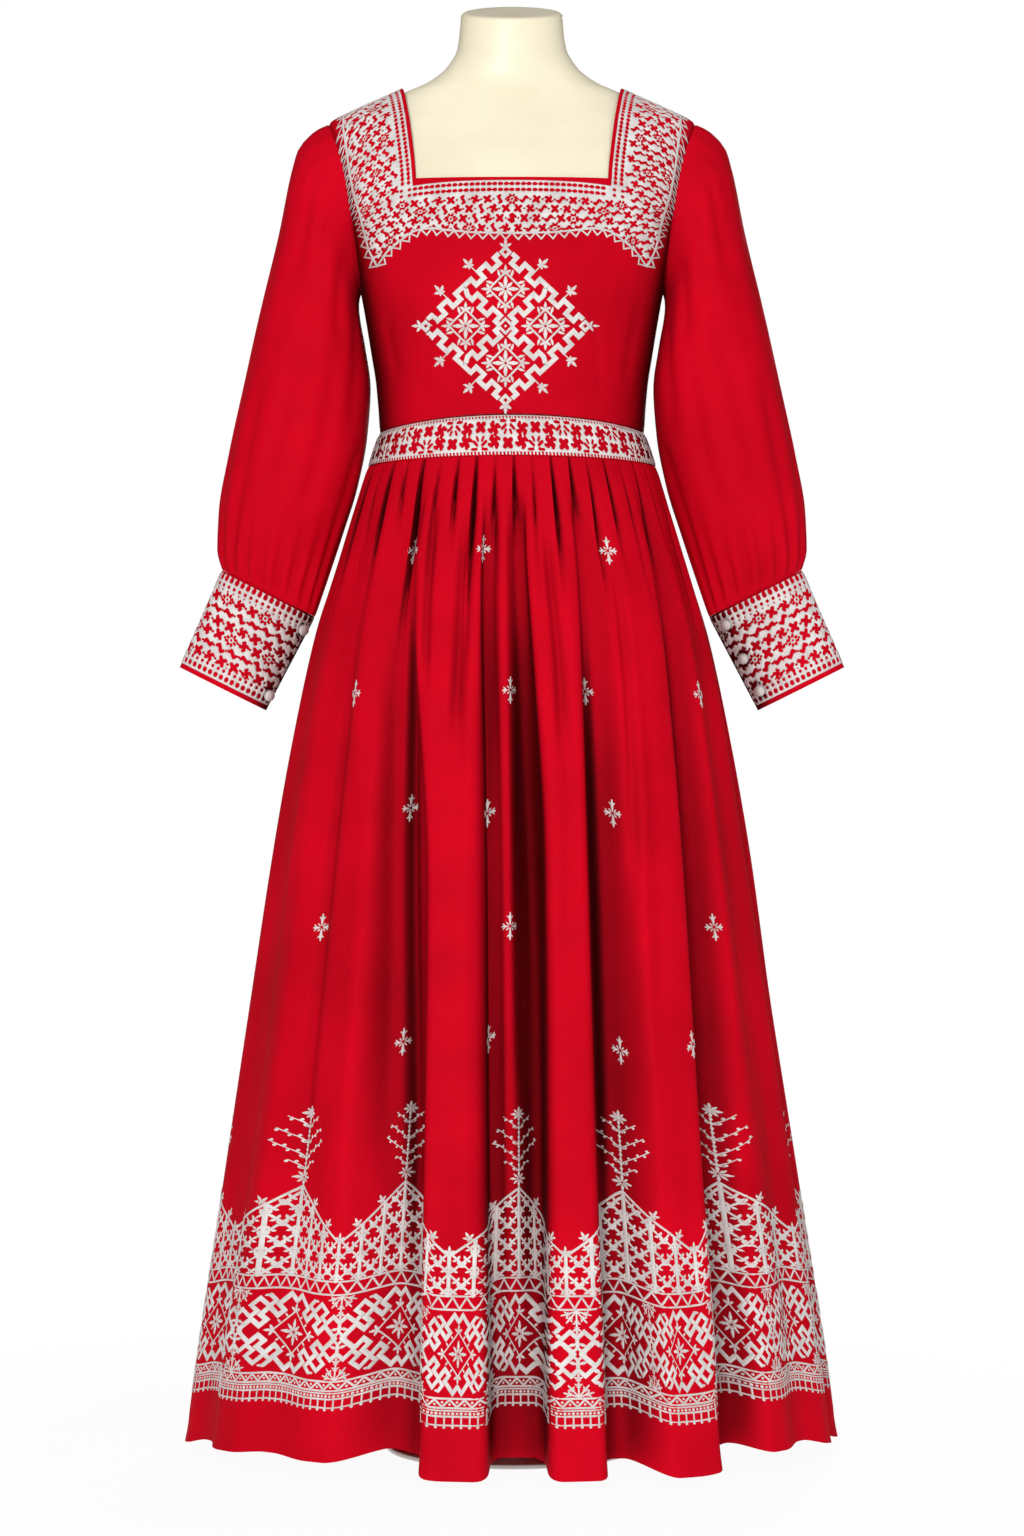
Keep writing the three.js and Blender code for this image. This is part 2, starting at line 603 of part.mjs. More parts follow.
// Builds a cloth wall between an outer and an inner grid of points.
// wraps joins the last column to the first, and keeps says which cells are cloth.
function wallMesh(name, outer, inner, wraps, keeps, finish) {
  const rowCount = outer.length;
  const columnCount = outer[0].length;
  const cellColumns = wraps ? columnCount : columnCount - 1;
  const positions = [];
  const indices = [];
  const numbers = new Map();
  const vertex = (grid, row, column) => {
    const place = column % columnCount;
    const key = `${grid === outer ? 'o' : 'i'}${row}_${place}`;
    if (!numbers.has(key)) {
      numbers.set(key, positions.length / 3);
      positions.push(...grid[row][place].toArray());
    }
    return numbers.get(key);
  };
  const quad = (a, b, c, d) => {
    indices.push(a, b, c, a, c, d);
  };
  const isCloth = (row, column) => {
    if (row < 0 || row >= rowCount - 1) {
      return false;
    }
    if (!wraps && (column < 0 || column >= cellColumns)) {
      return false;
    }
    return keeps(row, (column + cellColumns) % cellColumns);
  };
  for (let row = 0; row < rowCount - 1; row += 1) {
    for (let column = 0; column < cellColumns; column += 1) {
      if (isCloth(row, column)) {
        const corners = [[row, column], [row, column + 1], [row + 1, column + 1], [row + 1, column]];
        const out = corners.map((corner) => vertex(outer, ...corner));
        const inn = corners.map((corner) => vertex(inner, ...corner));
        const first = splitCorner(corners, outer, inner, columnCount);
        const order = [0, 1, 2, 3].map((i) => (i + first) % 4);
        quad(...order.map((i) => out[i]));
        quad(...order.map((i) => inn[i]).reverse());
        const beside = [[row - 1, column], [row, column + 1], [row + 1, column], [row, column - 1]];
        beside.forEach((cell, edge) => {
          if (!isCloth(...cell)) {
            const next = (edge + 1) % 4;
            quad(out[next], out[edge], inn[edge], inn[next]);
          }
        });
      }
    }
  }
  return solidMesh(name, positions, indices, finish);
}

// Makes a mesh whose faces point out, whichever way its triangles were listed
function solidMesh(name, positions, indices, finish) {
  const at = (i) => new THREE.Vector3().fromArray(positions, indices[i] * 3);
  let volume = 0;
  for (let i = 0; i < indices.length; i += 3) {
    volume += at(i).dot(at(i + 1).cross(at(i + 2)));
  }
  const facing = volume > 0 ? indices : indices.slice().reverse();
  const geometry = new THREE.BufferGeometry();
  geometry.setAttribute('position', new THREE.Float32BufferAttribute(positions, 3));
  geometry.setIndex(facing);
  geometry.computeVertexNormals();
  const mesh = new THREE.Mesh(geometry, new THREE.MeshStandardMaterial(finish));
  mesh.name = name;
  return mesh;
}

const mirrored = (grid) => grid.map((line) => line.map((p) => new THREE.Vector3(-p.x, p.y, p.z)));
const everyCell = () => true;

function makeBodice(name, side) {
  const rowCount = sideRows + chestRows + strapRows;
  const reach = centreColumns + strapColumns;
  const outer = [];
  const inner = [];
  for (let row = 0; row <= rowCount; row += 1) {
    const outerLine = [];
    const innerLine = [];
    for (let column = -reach; column <= reach; column += 1) {
      const inOpening = Math.abs(column) < centreColumns && row > sideRows + chestRows;
      const point = bodicePoint(side, side < 0 && inOpening ? sideRows + chestRows : row, column);
      const inside = point.clone().addScaledVector(torsoNormal(point), -clothWall);
      for (const seamPoint of [point, inside]) {
        seamPoint.y = side * Math.max(seamGap / 2, side * seamPoint.y);
      }
      outerLine.push(point);
      innerLine.push(inside);
    }
    outer.push(outerLine);
    inner.push(innerLine);
  }
  const isNeckline = (row, column) => side < 0 && row >= sideRows + chestRows
    && column >= strapColumns && column < strapColumns + 2 * centreColumns;
  return wallMesh(name, outer, inner, false, (row, column) => !isNeckline(row, column), cloth);
}

function makeWaistband() {
  const outer = [];
  const inner = [];
  for (const share of [0, 1]) {
    const outerLine = [];
    const innerLine = [];
    for (let column = 0; column < bandColumns; column += 1) {
      const angle = (turn * column) / bandColumns;
      const point = bandPoint(angle, share);
      const middle = new THREE.Vector3(0, 0, point.z);
      const normal = surfaceNormal(bandPoint, angle, share, [-turn, 2 * turn], [0, 1], middle);
      normal.z = 0;
      outerLine.push(point);
      innerLine.push(point.clone().addScaledVector(normal.normalize(), -bandWall));
    }
    outer.push(outerLine);
    inner.push(innerLine);
  }
  return wallMesh('waistband', outer, inner, true, everyCell, cloth);
}

function makeSkirt(name, side) {
  const columnCount = (pleatCount * columnsPerPleat) / 2;
  const surface = (across, down) => skirtPoint(side, across, down);
  const outer = [];
  const inner = [];
  for (const down of skirtLevels) {
    const outerLine = [];
    const innerLine = [];
    for (let column = 0; column <= columnCount; column += 1) {
      const across = column / columnCount;
      const point = surface(across, down);
      const middle = new THREE.Vector3(0, 0, point.z);
      const normal = surfaceNormal(surface, across, down, [0, 1], [0, 1], middle);
      const atSeam = column === 0 || column === columnCount;
      if (atSeam) {
        normal.set(Math.sign(point.x), 0, 0);
      }
      if (down === 0 || down === 1) {
        normal.z = 0;
        normal.normalize();
      }
      const inside = point.clone().addScaledVector(normal, -clothWall);
      if (atSeam) {
        point.y = (side * seamGap) / 2;
        inside.y = point.y;
      }
      outerLine.push(point);
      innerLine.push(inside);
    }
    outer.push(outerLine);
    inner.push(innerLine);
  }
  return wallMesh(name, outer, inner, false, everyCell, cloth);
}

function sleeveGrids() {
  const axis = cuffAxis();
  const outer = [];
  const inner = [];
  for (const place of sleeveLevels) {
    const outerLine = [];
    const innerLine = [];
    for (let column = 0; column < sleeveColumns; column += 1) {
      const around = (turn * column) / sleeveColumns;
      const point = sleevePoint(around, place);
      const middle = sleevePoint(0, place).add(sleevePoint(Math.PI, place)).multiplyScalar(0.5);
      const normal = place === 0
        ? new THREE.Vector3(0, point.y, point.z - armholeMiddle).normalize()
        : surfaceNormal(sleevePoint, around, place, [-turn, 2 * turn], [0, 1], middle);
      if (place === 1) {
        normal.addScaledVector(axis, -normal.dot(axis)).normalize();
      }
      outerLine.push(point);
      innerLine.push(point.clone().addScaledVector(normal, -clothWall));
    }
    outer.push(outerLine);
    inner.push(innerLine);
  }
  const lift = (line) => line.forEach((point) => point.addScaledVector(axis, -seamGap));
  lift(outer[outer.length - 1]);
  lift(inner[inner.length - 1]);
  return { outer, inner };
}

function cuffAxis() {
  const top = cuffPoint(0, 0).add(cuffPoint(Math.PI, 0));
  return cuffPoint(0, 1).add(cuffPoint(Math.PI, 1)).sub(top).normalize();
}

function cuffNormal(around, down) {
  const middle = cuffPoint(0, down).add(cuffPoint(Math.PI, down)).multiplyScalar(0.5);
  const normal = surfaceNormal(cuffPoint, around, down, [-turn, 2 * turn], [0, 1], middle);
  const axis = cuffAxis();
  return normal.addScaledVector(axis, -normal.dot(axis)).normalize();
}

function cuffGrids() {
  const outer = [];
  const inner = [];
  for (const down of cuffLevels) {
    const arounds = Array.from({ length: sleeveColumns }, (_, column) => (turn * column) / sleeveColumns);
    outer.push(arounds.map((around) => cuffPoint(around, down)));
    inner.push(arounds.map((around) => (
      cuffPoint(around, down).addScaledVector(cuffNormal(around, down), -bandWall)
    )));
  }
  return { outer, inner };
}

function makeArmPiece(name, grids, isLeft) {
  const outer = isLeft ? mirrored(grids.outer) : grids.outer;
  const inner = isLeft ? mirrored(grids.inner) : grids.inner;
  return wallMesh(name, outer, inner, true, everyCell, cloth);
}

function makeButton(name, inward, down, isLeft) {
  const around = Math.PI - inward;
  const normal = cuffNormal(around, down);
  const centre = cuffPoint(around, down).addScaledVector(normal, buttonHalfHeight + seamGap);
  if (isLeft) {
    centre.x *= -1;
    normal.x *= -1;
  }
  const geometry = new THREE.SphereGeometry(buttonRadius, 12, 7);
  geometry.scale(1, buttonHalfHeight / buttonRadius, 1);
  const mesh = new THREE.Mesh(geometry, new THREE.MeshStandardMaterial(thread));
  mesh.quaternion.setFromUnitVectors(new THREE.Vector3(0, 1, 0), normal);
  mesh.position.copy(centre);
  mesh.name = name;
  return mesh;
}

// The form: rings just inside the torso, with a flat bottom and a slanted flat neck
function makeFormTorso() {
  const positions = [];
  const indices = [];
  const heights = torsoRows.map((row) => row.height);
  heights.forEach((height) => {
    const ring = ringAt(torsoRows, height);
    const ease = readTable(torsoRows, 'height', 'ease', height);
    for (let column = 0; column < formColumns; column += 1) {
      const flat = ringPoint(ring, (turn * column) / formColumns);
      const point = new THREE.Vector3(flat.x, flat.y, height);
      const normal = torsoNormal(point);
      if (height >= neckCutStart || height === formBottom) {
        normal.z = 0;
        normal.normalize();
      }
      point.addScaledVector(normal, -ease);
      const cut = clamp((height - neckCutStart) / (neckTop - neckCutStart));
      point.z += cut * neckCutTilt * (point.y - neckMiddle);
      positions.push(...point.toArray());
    }
  });
  const ringStart = (row) => row * formColumns;
  for (let row = 0; row < heights.length - 1; row += 1) {
    for (let column = 0; column < formColumns; column += 1) {
      const next = (column + 1) % formColumns;
      const a = ringStart(row) + column;
      const b = ringStart(row) + next;
      const c = ringStart(row + 1) + next;
      const d = ringStart(row + 1) + column;
      indices.push(a, b, c, a, c, d);
    }
  }
  const lastStart = ringStart(heights.length - 1);
  for (let column = 1; column < formColumns - 1; column += 1) {
    indices.push(0, column + 1, column);
    indices.push(lastStart, lastStart + column, lastStart + column + 1);
  }
  return solidMesh('form_torso', positions, indices, formSkin);
}

// A turned piece standing on the floor's axis, from its profile of radius and height
function makeTurned(name, profile, sides, finish) {
  const points = profile.map((corner) => new THREE.Vector2(corner.radius, corner.height));
  const geometry = new THREE.LatheGeometry(points, sides);
  geometry.rotateX(Math.PI / 2);
  const mesh = new THREE.Mesh(geometry, new THREE.MeshStandardMaterial(finish));
  mesh.name = name;
  return mesh;
}

function makePole() {
  const foot = baseHeight + seamGap;
  const head = formBottom - seamGap;
  return makeTurned('form_pole', [
    { radius: 0, height: foot },
    { radius: collarRadius, height: foot },
    { radius: collarRadius, height: foot + collarEdge },
    { radius: poleRadius + collarEdge, height: foot + collarHeight },
    { radius: poleRadius, height: foot + collarHeight },
    { radius: poleRadius, height: head },
    { radius: 0, height: head },
  ], poleSides, standPaint);
}

function makeBase() {
  return makeTurned('form_base', [
    { radius: 0, height: 0 },
    { radius: baseRadius, height: 0 },
    { radius: baseRadius, height: baseHeight - baseBevel },
    { radius: baseRadius - baseBevel, height: baseHeight },
    { radius: 0, height: baseHeight },
  ], baseSides, standPaint);
}

const dress = new THREE.Group();
dress.name = 'embroidered_dress';

const form = new THREE.Group();
form.add(makeFormTorso(), makePole(), makeBase());

const body = new THREE.Group();
body.add(makeBodice('bodice_front', -1), makeBodice('bodice_back', 1), makeWaistband());

const skirt = new THREE.Group();
skirt.add(makeSkirt('skirt_front', -1), makeSkirt('skirt_back', 1));

const arms = new THREE.Group();
const sleeve = sleeveGrids();
const cuff = cuffGrids();
for (const isLeft of [true, false]) {
  const hand = isLeft ? 'left' : 'right';
  arms.add(makeArmPiece(`sleeve_${hand}`, sleeve, isLeft), makeArmPiece(`cuff_${hand}`, cuff, isLeft));
  const buttons = buttonSets[hand];
  buttons.places.forEach((down, i) => {
    arms.add(makeButton(`button_${hand}_${i + 1}`, buttons.turn, down, isLeft));
  });
}

dress.add(form, body, skirt, arms);

export default dress;
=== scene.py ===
"""Looks of the embroidered dress and its limbless dress form.

Tables and sizes are in millimetres unless a name says otherwise, and objects are in metres.
+Z is up, the dress faces -Y, and left and right are as seen from the front.
"""
import math

import bpy
import numpy as np
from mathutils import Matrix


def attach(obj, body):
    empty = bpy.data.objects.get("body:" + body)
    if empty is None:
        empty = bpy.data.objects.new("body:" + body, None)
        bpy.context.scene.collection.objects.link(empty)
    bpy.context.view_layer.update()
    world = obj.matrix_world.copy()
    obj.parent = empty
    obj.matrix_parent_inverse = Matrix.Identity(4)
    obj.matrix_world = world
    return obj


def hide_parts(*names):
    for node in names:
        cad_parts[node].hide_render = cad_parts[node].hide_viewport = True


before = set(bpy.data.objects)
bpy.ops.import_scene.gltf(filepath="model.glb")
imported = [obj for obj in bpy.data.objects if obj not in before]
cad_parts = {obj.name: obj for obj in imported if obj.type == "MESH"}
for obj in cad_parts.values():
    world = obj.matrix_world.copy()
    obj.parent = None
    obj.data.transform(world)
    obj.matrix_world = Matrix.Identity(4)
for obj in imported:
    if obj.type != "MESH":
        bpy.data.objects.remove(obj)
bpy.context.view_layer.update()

MM = 0.001
TURN = 2 * math.pi
QUARTER = math.pi / 2
DEGREE = math.pi / 180


def table(names, *rows):
    """Named columns from a few short rows."""
    return dict(zip(names.split(), np.array(rows, float).T))


def each_row(columns):
    """The rows of a table, one dict at a time."""
    for values in zip(*columns.values()):
        yield dict(zip(columns, values))


# The dress's form, as the solids have it

CLOTH = 1.2
BAND_CLOTH = 2.2
SEAM_GAP = 0.3
FRONT = -1
BACK = 1

TORSO = table(
    "height width front back square ease",
    (790, 158, 96, 108, 2.1, 8),
    (850, 168, 102, 114, 2.1, 8),
    (930, 164, 102, 110, 2.15, 8),
    (1000, 146, 101, 98, 2.2, 8),
    (1053, 138, 101, 93, 2.2, 8),
    (1100, 141, 110, 96, 2.2, 7),
    (1133, 146, 118, 99, 2.25, 6),
    (1197, 157, 127, 104, 2.35, 4),
    (1250, 169, 118, 107, 2.4, 3),
    (1306, 182, 97, 106, 2.45, 2.6),
    (1340, 190, 82, 100, 2.4, 4.5),
    (1359, 193.5, 72, 94, 2.35, 6.5),
    (1374, 191, 64, 87, 2.3, 7),
    (1386, 170, 56, 80, 2.25, 6),
    (1394, 153, 52, 76, 2.2, 6),
    (1401, 137, 49, 73, 2.2, 5.5),
    (1411, 116, 46, 69, 2.15, 5),
    (1422, 89, 44, 66, 2.1, 4),
    (1436, 70, 43, 63, 2.05, 3),
    (1455, 59, 42, 61, 2, 2.4),
    (1494, 55, 41, 58, 2, 2.4),
)
PIVOT_HEIGHT = 1250
SHOULDER_HEIGHT = 1411
LIFT_PER_RADIAN = 100
SHOULDER_LIFT = LIFT_PER_RADIAN * QUARTER
NECK_CUT_TILT = math.tan(18 * DEGREE)
NECK_CUT_START = 1455
NECK_MIDDLE = 9
UNDERARM_HEIGHT = 1197
ARMHOLE_MIDDLE = 1286
ARMHOLE_HALF_HEIGHT = 89
ARMHOLE_REACH = 46
CHEST_HEIGHT = 1306
CHEST_ANGLE = 32.6 * DEGREE
NECK_POINT_X = 116
CHEST_TURN = 1.35
BACK_NECK_HEIGHT = 1388
BACK_NECK_CROWDING = 1.6
STRAP_CURVE = 1.6
CENTRE_COLUMNS = 5
STRAP_COLUMNS = 6
SIDE_ROWS = 5
CHEST_ROWS = 5
STRAP_ROWS = 7
BAND_TOP_SIDE = 1053
BAND_TOP_RISE = 12
BAND_BOTTOM_SIDE = 1018
BAND_BOTTOM_RISE = 4
BAND_BOTTOM = {"width": 150, "front": 110, "back": 102, "square": 2.15}

SKIRT = table(
    "height width front back square",
    (0, 340, 266, 268, 2),
    (70, 331, 259, 262, 2),
    (257, 303, 238, 240, 2),
    (444, 275, 216, 219, 2),
    (631, 246.5, 193, 197, 2),
    (725, 230, 180, 184, 2),
    (839, 206, 160, 163, 2.05),
    (940, 176, 134, 135, 2.1),
    (1005, 154.5, 115, 108, 2.15),
    (1018, 150, 110, 102, 2.15),
)
PLEAT_COUNT = 44
PLEAT_DEPTH = 7
PLEAT_TOP = 1018
PLEAT_FULL = 1000
PLEAT_SHARE_AT_BAND = 0.25
HEM = table(
    "angle height",
    (-180, 16), (-90, 10), (-60, 20), (-38, 23), (-24, 22), (-12, 12),
    (12, 12), (33, 10), (52, 24), (64, 22), (90, 10), (180, 16),
)
HEM_VALLEY_RISE = 17
HEM_FULL_VALLEY = 40
VALLEY_HEM = 60
VALLEY_MIDDLE = 600
VALLEY_TOP = 920
VALLEYS = table(
    "top middle hem left right deep_top deep_middle deep_hem lean_left lean_right floor spread",
    (-78, -74, -72, 12, 11, 4, 8, 12, 0.02, 0.04, 0.1, 1),
    (-57, -51, -47, 10, 10, 4, 6, 7, 0, 0, 0.1, 1),
    (-35, -23, -18.8, 15, 4.6, 9, 25, 35, 0, 0.13, 0.15, 1.1),
    (-2.6, 0.7, 1.1, 7.4, 7.4, 11, 31, 40, 0.1, 0.1, 0.35, 1.42),
    (-3, -1.2, 0.4, 3.6, 3.6, -7, -10, 0, 0, 0, 0.1, 1.2),
    (24, 21.1, 19.2, 4.6, 10, 9, 25, 35, 0.13, 0, 0.15, 1.1),
    (53.7, 47.6, 41.6, 4.8, 10, 8, 23, 34, 0.13, 0.02, 0.15, 1.1),
    (70, 66, 63, 9, 9, 4, 8, 10, 0, 0, 0.1, 1),
    (85, 83, 82, 8, 10, 5, 10, 14, 0.04, 0.02, 0.1, 1),
    (104, 103, 102, 8, 7, 7, 16, 24, 0.06, 0.1, 0.15, 1),
    (122, 120, 119, 7, 8, 8, 22, 33, 0.11, 0.06, 0.2, 1),
    (136, 137, 138, 8, 6, 7, 17, 26, 0.04, 0.11, 0.15, 1),
    (158, 156, 155, 6, 9, 8, 24, 36, 0.12, 0.05, 0.2, 1.1),
    (174, 174, 174, 8, 6, 7, 19, 28, 0.05, 0.11, 0.15, 1),
    (193, 192, 191, 6, 8, 8, 22, 35, 0.12, 0.06, 0.2, 1.1),
    (207, 208, 209, 8, 7, 6, 16, 25, 0.05, 0.1, 0.15, 1),
    (228, 228, 227, 7, 8, 8, 23, 36, 0.11, 0.06, 0.2, 1),
    (245, 246, 247, 8, 7, 7, 18, 27, 0.04, 0.1, 0.15, 1),
    (264, 265, 266, 8, 9, 5, 10, 15, 0.05, 0.03, 0.1, 1),
)

SLEEVE = table(
    "place outX outZ inX inZ depth y",
    (0, 194, 1375, 158, 1197, 48, 0),
    (0.05, 216, 1363, 159.5, 1190, 54, -1),
    (0.13, 228, 1330, 158, 1174, 58, -1),
    (0.25, 242, 1262, 152.5, 1143, 60, 0),
    (0.4, 260, 1188, 147, 1100, 61, 1),
    (0.55, 278, 1110, 150.5, 1051, 62, 3),
    (0.7, 295, 1032, 160.5, 999, 61, 4),
    (0.83, 305.5, 972, 176, 949, 57, 5),
    (0.93, 307, 934, 192, 901, 42, 5),
    (1, 302, 912, 205, 863, 24, 5),
)
SLEEVE_BLEND = 0.1
GATHER_COUNT = 20
CUFF_GATHER = 3.2
CUFF_GATHER_START = 0.74
CUFF_GATHER_FULL = 0.96
CUFF_GATHER_END = 1.012
CUFF_GATHER_FADE = 0.05
HEAD_GATHER = 1.6
HEAD_GATHER_FULL = 0.03
HEAD_GATHER_END = 0.22
CUFF_ENDS = table(
    "down outX outZ inX inZ depth y",
    (0, 302, 912, 205, 863, 24, 5),
    (1, 346, 811, 256, 766, 22, 5),
)
BUTTON_RADIUS = 6
BUTTON_HALF_HEIGHT = 4.2
BUTTONS = {
    "left": {"turn": 28 * DEGREE, "places": (0.16, 0.86)},
    "right": {"turn": 40 * DEGREE, "places": (0.14, 0.5, 0.84)},
}


def mix(start, end, share):
    return start + (end - start) * share


def clamp(value):
    return np.clip(value, 0, 1)


def smooth(value):
    return clamp(value) ** 2 * (3 - 2 * clamp(value))


def stack(x, y, z):
    return np.stack(np.broadcast_arrays(x, y, z), axis=-1).astype(float)


def unit(vectors):
    return vectors / np.maximum(np.linalg.norm(vectors, axis=-1, keepdims=True), 1e-12)


def bell(distance, width):
    """1 at no distance, and next to nothing from twice the width on."""
    return np.exp(-((distance / width) ** 2))


def lengths_along(points):
    """Length along a line of points, from the first to each."""
    return np.concatenate([[0], np.cumsum(np.linalg.norm(np.diff(points, axis=0), axis=-1))])


def read(columns, key, column, at):
    """One column of a table between its rows, as a smooth line with no overshoot."""
    keys, values = columns[key], columns[column]
    at = np.clip(at, keys[0], keys[-1])
    rise = np.diff(values) / np.diff(keys)
    product = rise[:-1] * rise[1:]
    total = rise[:-1] + rise[1:]
    inner = np.where(product > 0, 2 * product / np.where(total == 0, 1, total), 0)
    slope = np.concatenate([rise[:1], inner, rise[-1:]])
    low = np.clip(np.searchsorted(keys, at, "right") - 1, 0, len(keys) - 2)
    span = keys[low + 1] - keys[low]
    share = (at - keys[low]) / span
    square, cube = share ** 2, share ** 3
    return (
        values[low] * (2 * cube - 3 * square + 1)
        + slope[low] * span * (cube - 2 * square + share)
        + values[low + 1] * (3 * square - 2 * cube)
        + slope[low + 1] * span * (cube - square)
    )


def ring_at(columns, height):
    return {name: read(columns, "height", name, height) for name in ("width", "front", "back", "square")}


def ring_point(ring, angle):
    """A rounded ring's x and y. The angle is 0 at the middle of the front and grows towards +X."""
    sine, cosine = np.sin(angle), np.cos(angle)
    depth = np.where(cosine > 0, ring["front"], ring["back"])
    power = ring["square"]
    reach = (np.abs(sine) ** power + np.abs(cosine) ** power) ** (-1 / power)
    return ring["width"] * sine * reach, -depth * cosine * reach


# Torso


def torso_reach(x, y, z):
    ring = ring_at(TORSO, z)
    depth = np.where(y < 0, ring["front"], ring["back"])
    return np.abs(x / ring["width"]) ** ring["square"] + np.abs(y / depth) ** ring["square"]


def torso_slope(points):
    step = 0.4
    x, y, z = points[..., 0], points[..., 1], points[..., 2]
    return stack(
        torso_reach(x + step, y, z) - torso_reach(x - step, y, z),
        torso_reach(x, y + step, z) - torso_reach(x, y - step, z),
        torso_reach(x, y, z + step) - torso_reach(x, y, z - step),
    ) / (2 * step)


def torso_depth(side, x, z):
    ring = ring_at(TORSO, z)
    depth = ring["front"] if side == FRONT else ring["back"]
    share = np.minimum(1, np.abs(x) / ring["width"])
    return depth * (1 - share ** ring["square"]) ** (1 / ring["square"])


def torso_point(side, x, lift):
    """The torso's point at x. Below the pivot a lift is millimetres of height, and above it an angle."""
    x, lift = np.broadcast_arrays(np.asarray(x, float), np.asarray(lift, float))
    angle = np.maximum(lift, 0) / LIFT_PER_RADIAN
    near, far = np.zeros_like(x), np.full_like(x, 300.0)
    for _ in range(30):
        middle = (near + far) / 2
        inside = torso_reach(x, side * middle * np.cos(angle), PIVOT_HEIGHT + middle * np.sin(angle)) < 1
        near, far = np.where(inside, middle, near), np.where(inside, far, middle)
    over = stack(x, side * near * np.cos(angle), PIVOT_HEIGHT + near * np.sin(angle))
    height = PIVOT_HEIGHT + np.minimum(lift, 0)
    under = stack(x, side * torso_depth(side, x, height), height)
    return np.where(lift[..., None] <= 0, under, over)


def onto_torso(points):
    """Moves points that lie near the torso's surface onto it."""
    for _ in range(12):
        slope = torso_slope(points)
        missing = 1 - torso_reach(points[..., 0], points[..., 1], points[..., 2])
        points = points + slope * (missing / (slope ** 2).sum(-1))[..., None]
    return points


def lift_of(points):
    rise = points[..., 2] - PIVOT_HEIGHT
    turned = LIFT_PER_RADIAN * np.arctan2(np.maximum(rise, 0), np.abs(points[..., 1]))
    return np.where(rise <= 0, rise, turned)


def armhole_point(side, around):
    y = side * ARMHOLE_REACH * np.abs(np.sin(around))
    z = ARMHOLE_MIDDLE + ARMHOLE_HALF_HEIGHT * np.cos(around)
    ring = ring_at(TORSO, z)
    depth = np.where(np.asarray(side) < 0, ring["front"], ring["back"])
    x = ring["width"] * (1 - np.abs(y / depth) ** ring["square"]) ** (1 / ring["square"])
    return stack(x, y, z)


def armhole_turn(row):
    to_chest = clamp((row - SIDE_ROWS) / CHEST_ROWS)
    to_shoulder = clamp((row - SIDE_ROWS - CHEST_ROWS) / STRAP_ROWS)
    return np.where(to_chest < 1, mix(math.pi, CHEST_TURN, to_chest), mix(CHEST_TURN, 0, to_shoulder))


def band_top_height(side, across):
    return BAND_TOP_SIDE + np.where(side == FRONT, BAND_TOP_RISE * (1 - across ** 2), 0)


def band_bottom_height(side, across):
    return BAND_BOTTOM_SIDE + np.where(side == FRONT, BAND_BOTTOM_RISE * (1 - across ** 2), 0)


def back_neck_point(around):
    height = mix(BACK_NECK_HEIGHT, SHOULDER_HEIGHT, 1 - np.cos(around))
    x = NECK_POINT_X * np.sin(around)
    return stack(x, torso_depth(BACK, x, height), height)


def bodice_point(side, row, column):
    """A point of a bodice panel. Columns run from one armhole to the other, and rows go up."""
    across = np.abs(column)
    outward = clamp((across - CENTRE_COLUMNS) / STRAP_COLUMNS)
    centre_share = np.minimum(1, across / CENTRE_COLUMNS)
    angle = CHEST_ANGLE * centre_share + (QUARTER - CHEST_ANGLE) * outward
    bottom = band_top_height(side, np.sin(angle)) + SEAM_GAP
    height = mix(bottom, UNDERARM_HEIGHT, clamp(row / SIDE_ROWS))
    x = ring_at(TORSO, height)["width"] * np.sin(angle)
    low = stack(x, side * torso_depth(side, x, height), height)

    to_chest = clamp((row - SIDE_ROWS) / CHEST_ROWS)
    to_shoulder = clamp((row - SIDE_ROWS - CHEST_ROWS) / STRAP_ROWS)
    height = mix(UNDERARM_HEIGHT, CHEST_HEIGHT, to_chest)
    x = ring_at(TORSO, height)["width"] * np.sin(CHEST_ANGLE * centre_share)
    high = stack(x, side * torso_depth(side, x, height), height)
    if side == BACK:
        around = QUARTER * (1 - (1 - centre_share) ** BACK_NECK_CROWDING)
        strap = onto_torso(mix(high, back_neck_point(around), to_shoulder[..., None]))
    else:
        strap_x = mix(x, NECK_POINT_X, to_shoulder ** STRAP_CURVE)
        strap = torso_point(side, strap_x, mix(lift_of(high), SHOULDER_LIFT, to_shoulder))
    high = np.where(to_shoulder[..., None] > 0, strap, high)
    edge = armhole_point(side, armhole_turn(row))
    beside = mix(high, edge, outward[..., None])
    settled = onto_torso(beside)
    between = (outward > 0) & (outward < 1)
    high = np.where(between[..., None], settled, beside)
    point = np.where((row <= SIDE_ROWS)[..., None], low, high)
    return point * stack(np.sign(column), 1, 1)


# Waistband


def band_point(angle, share):
    """A point of the waistband, whose share is 0 at its top and 1 at its bottom."""
    side = np.where(np.cos(angle) > 0, FRONT, BACK)
    top_ring = ring_at(TORSO, BAND_TOP_SIDE)
    top_x, top_y = ring_point(top_ring, angle)
    low_x, low_y = ring_point(BAND_BOTTOM, angle)
    top = band_top_height(side, top_x / top_ring["width"])
    low = band_bottom_height(side, low_x / BAND_BOTTOM["width"])
    return stack(mix(top_x, low_x, share), mix(top_y, low_y, share), mix(top, low, share))


# Skirt

WAIST_ANGLES = np.linspace(-90, 270, 1441)
WAIST_LENGTHS = lengths_along(stack(*ring_point(BAND_BOTTOM, WAIST_ANGLES * DEGREE), 0))
FRONT_WAIST = WAIST_LENGTHS[len(WAIST_LENGTHS) // 2]
# Pleats counted from the left side seam, round the front and then the back
WAIST_PLEATS = PLEAT_COUNT / 2 * np.where(
    WAIST_ANGLES <= 90,
    WAIST_LENGTHS / FRONT_WAIST,
    1 + (WAIST_LENGTHS - FRONT_WAIST) / (WAIST_LENGTHS[-1] - FRONT_WAIST),
)


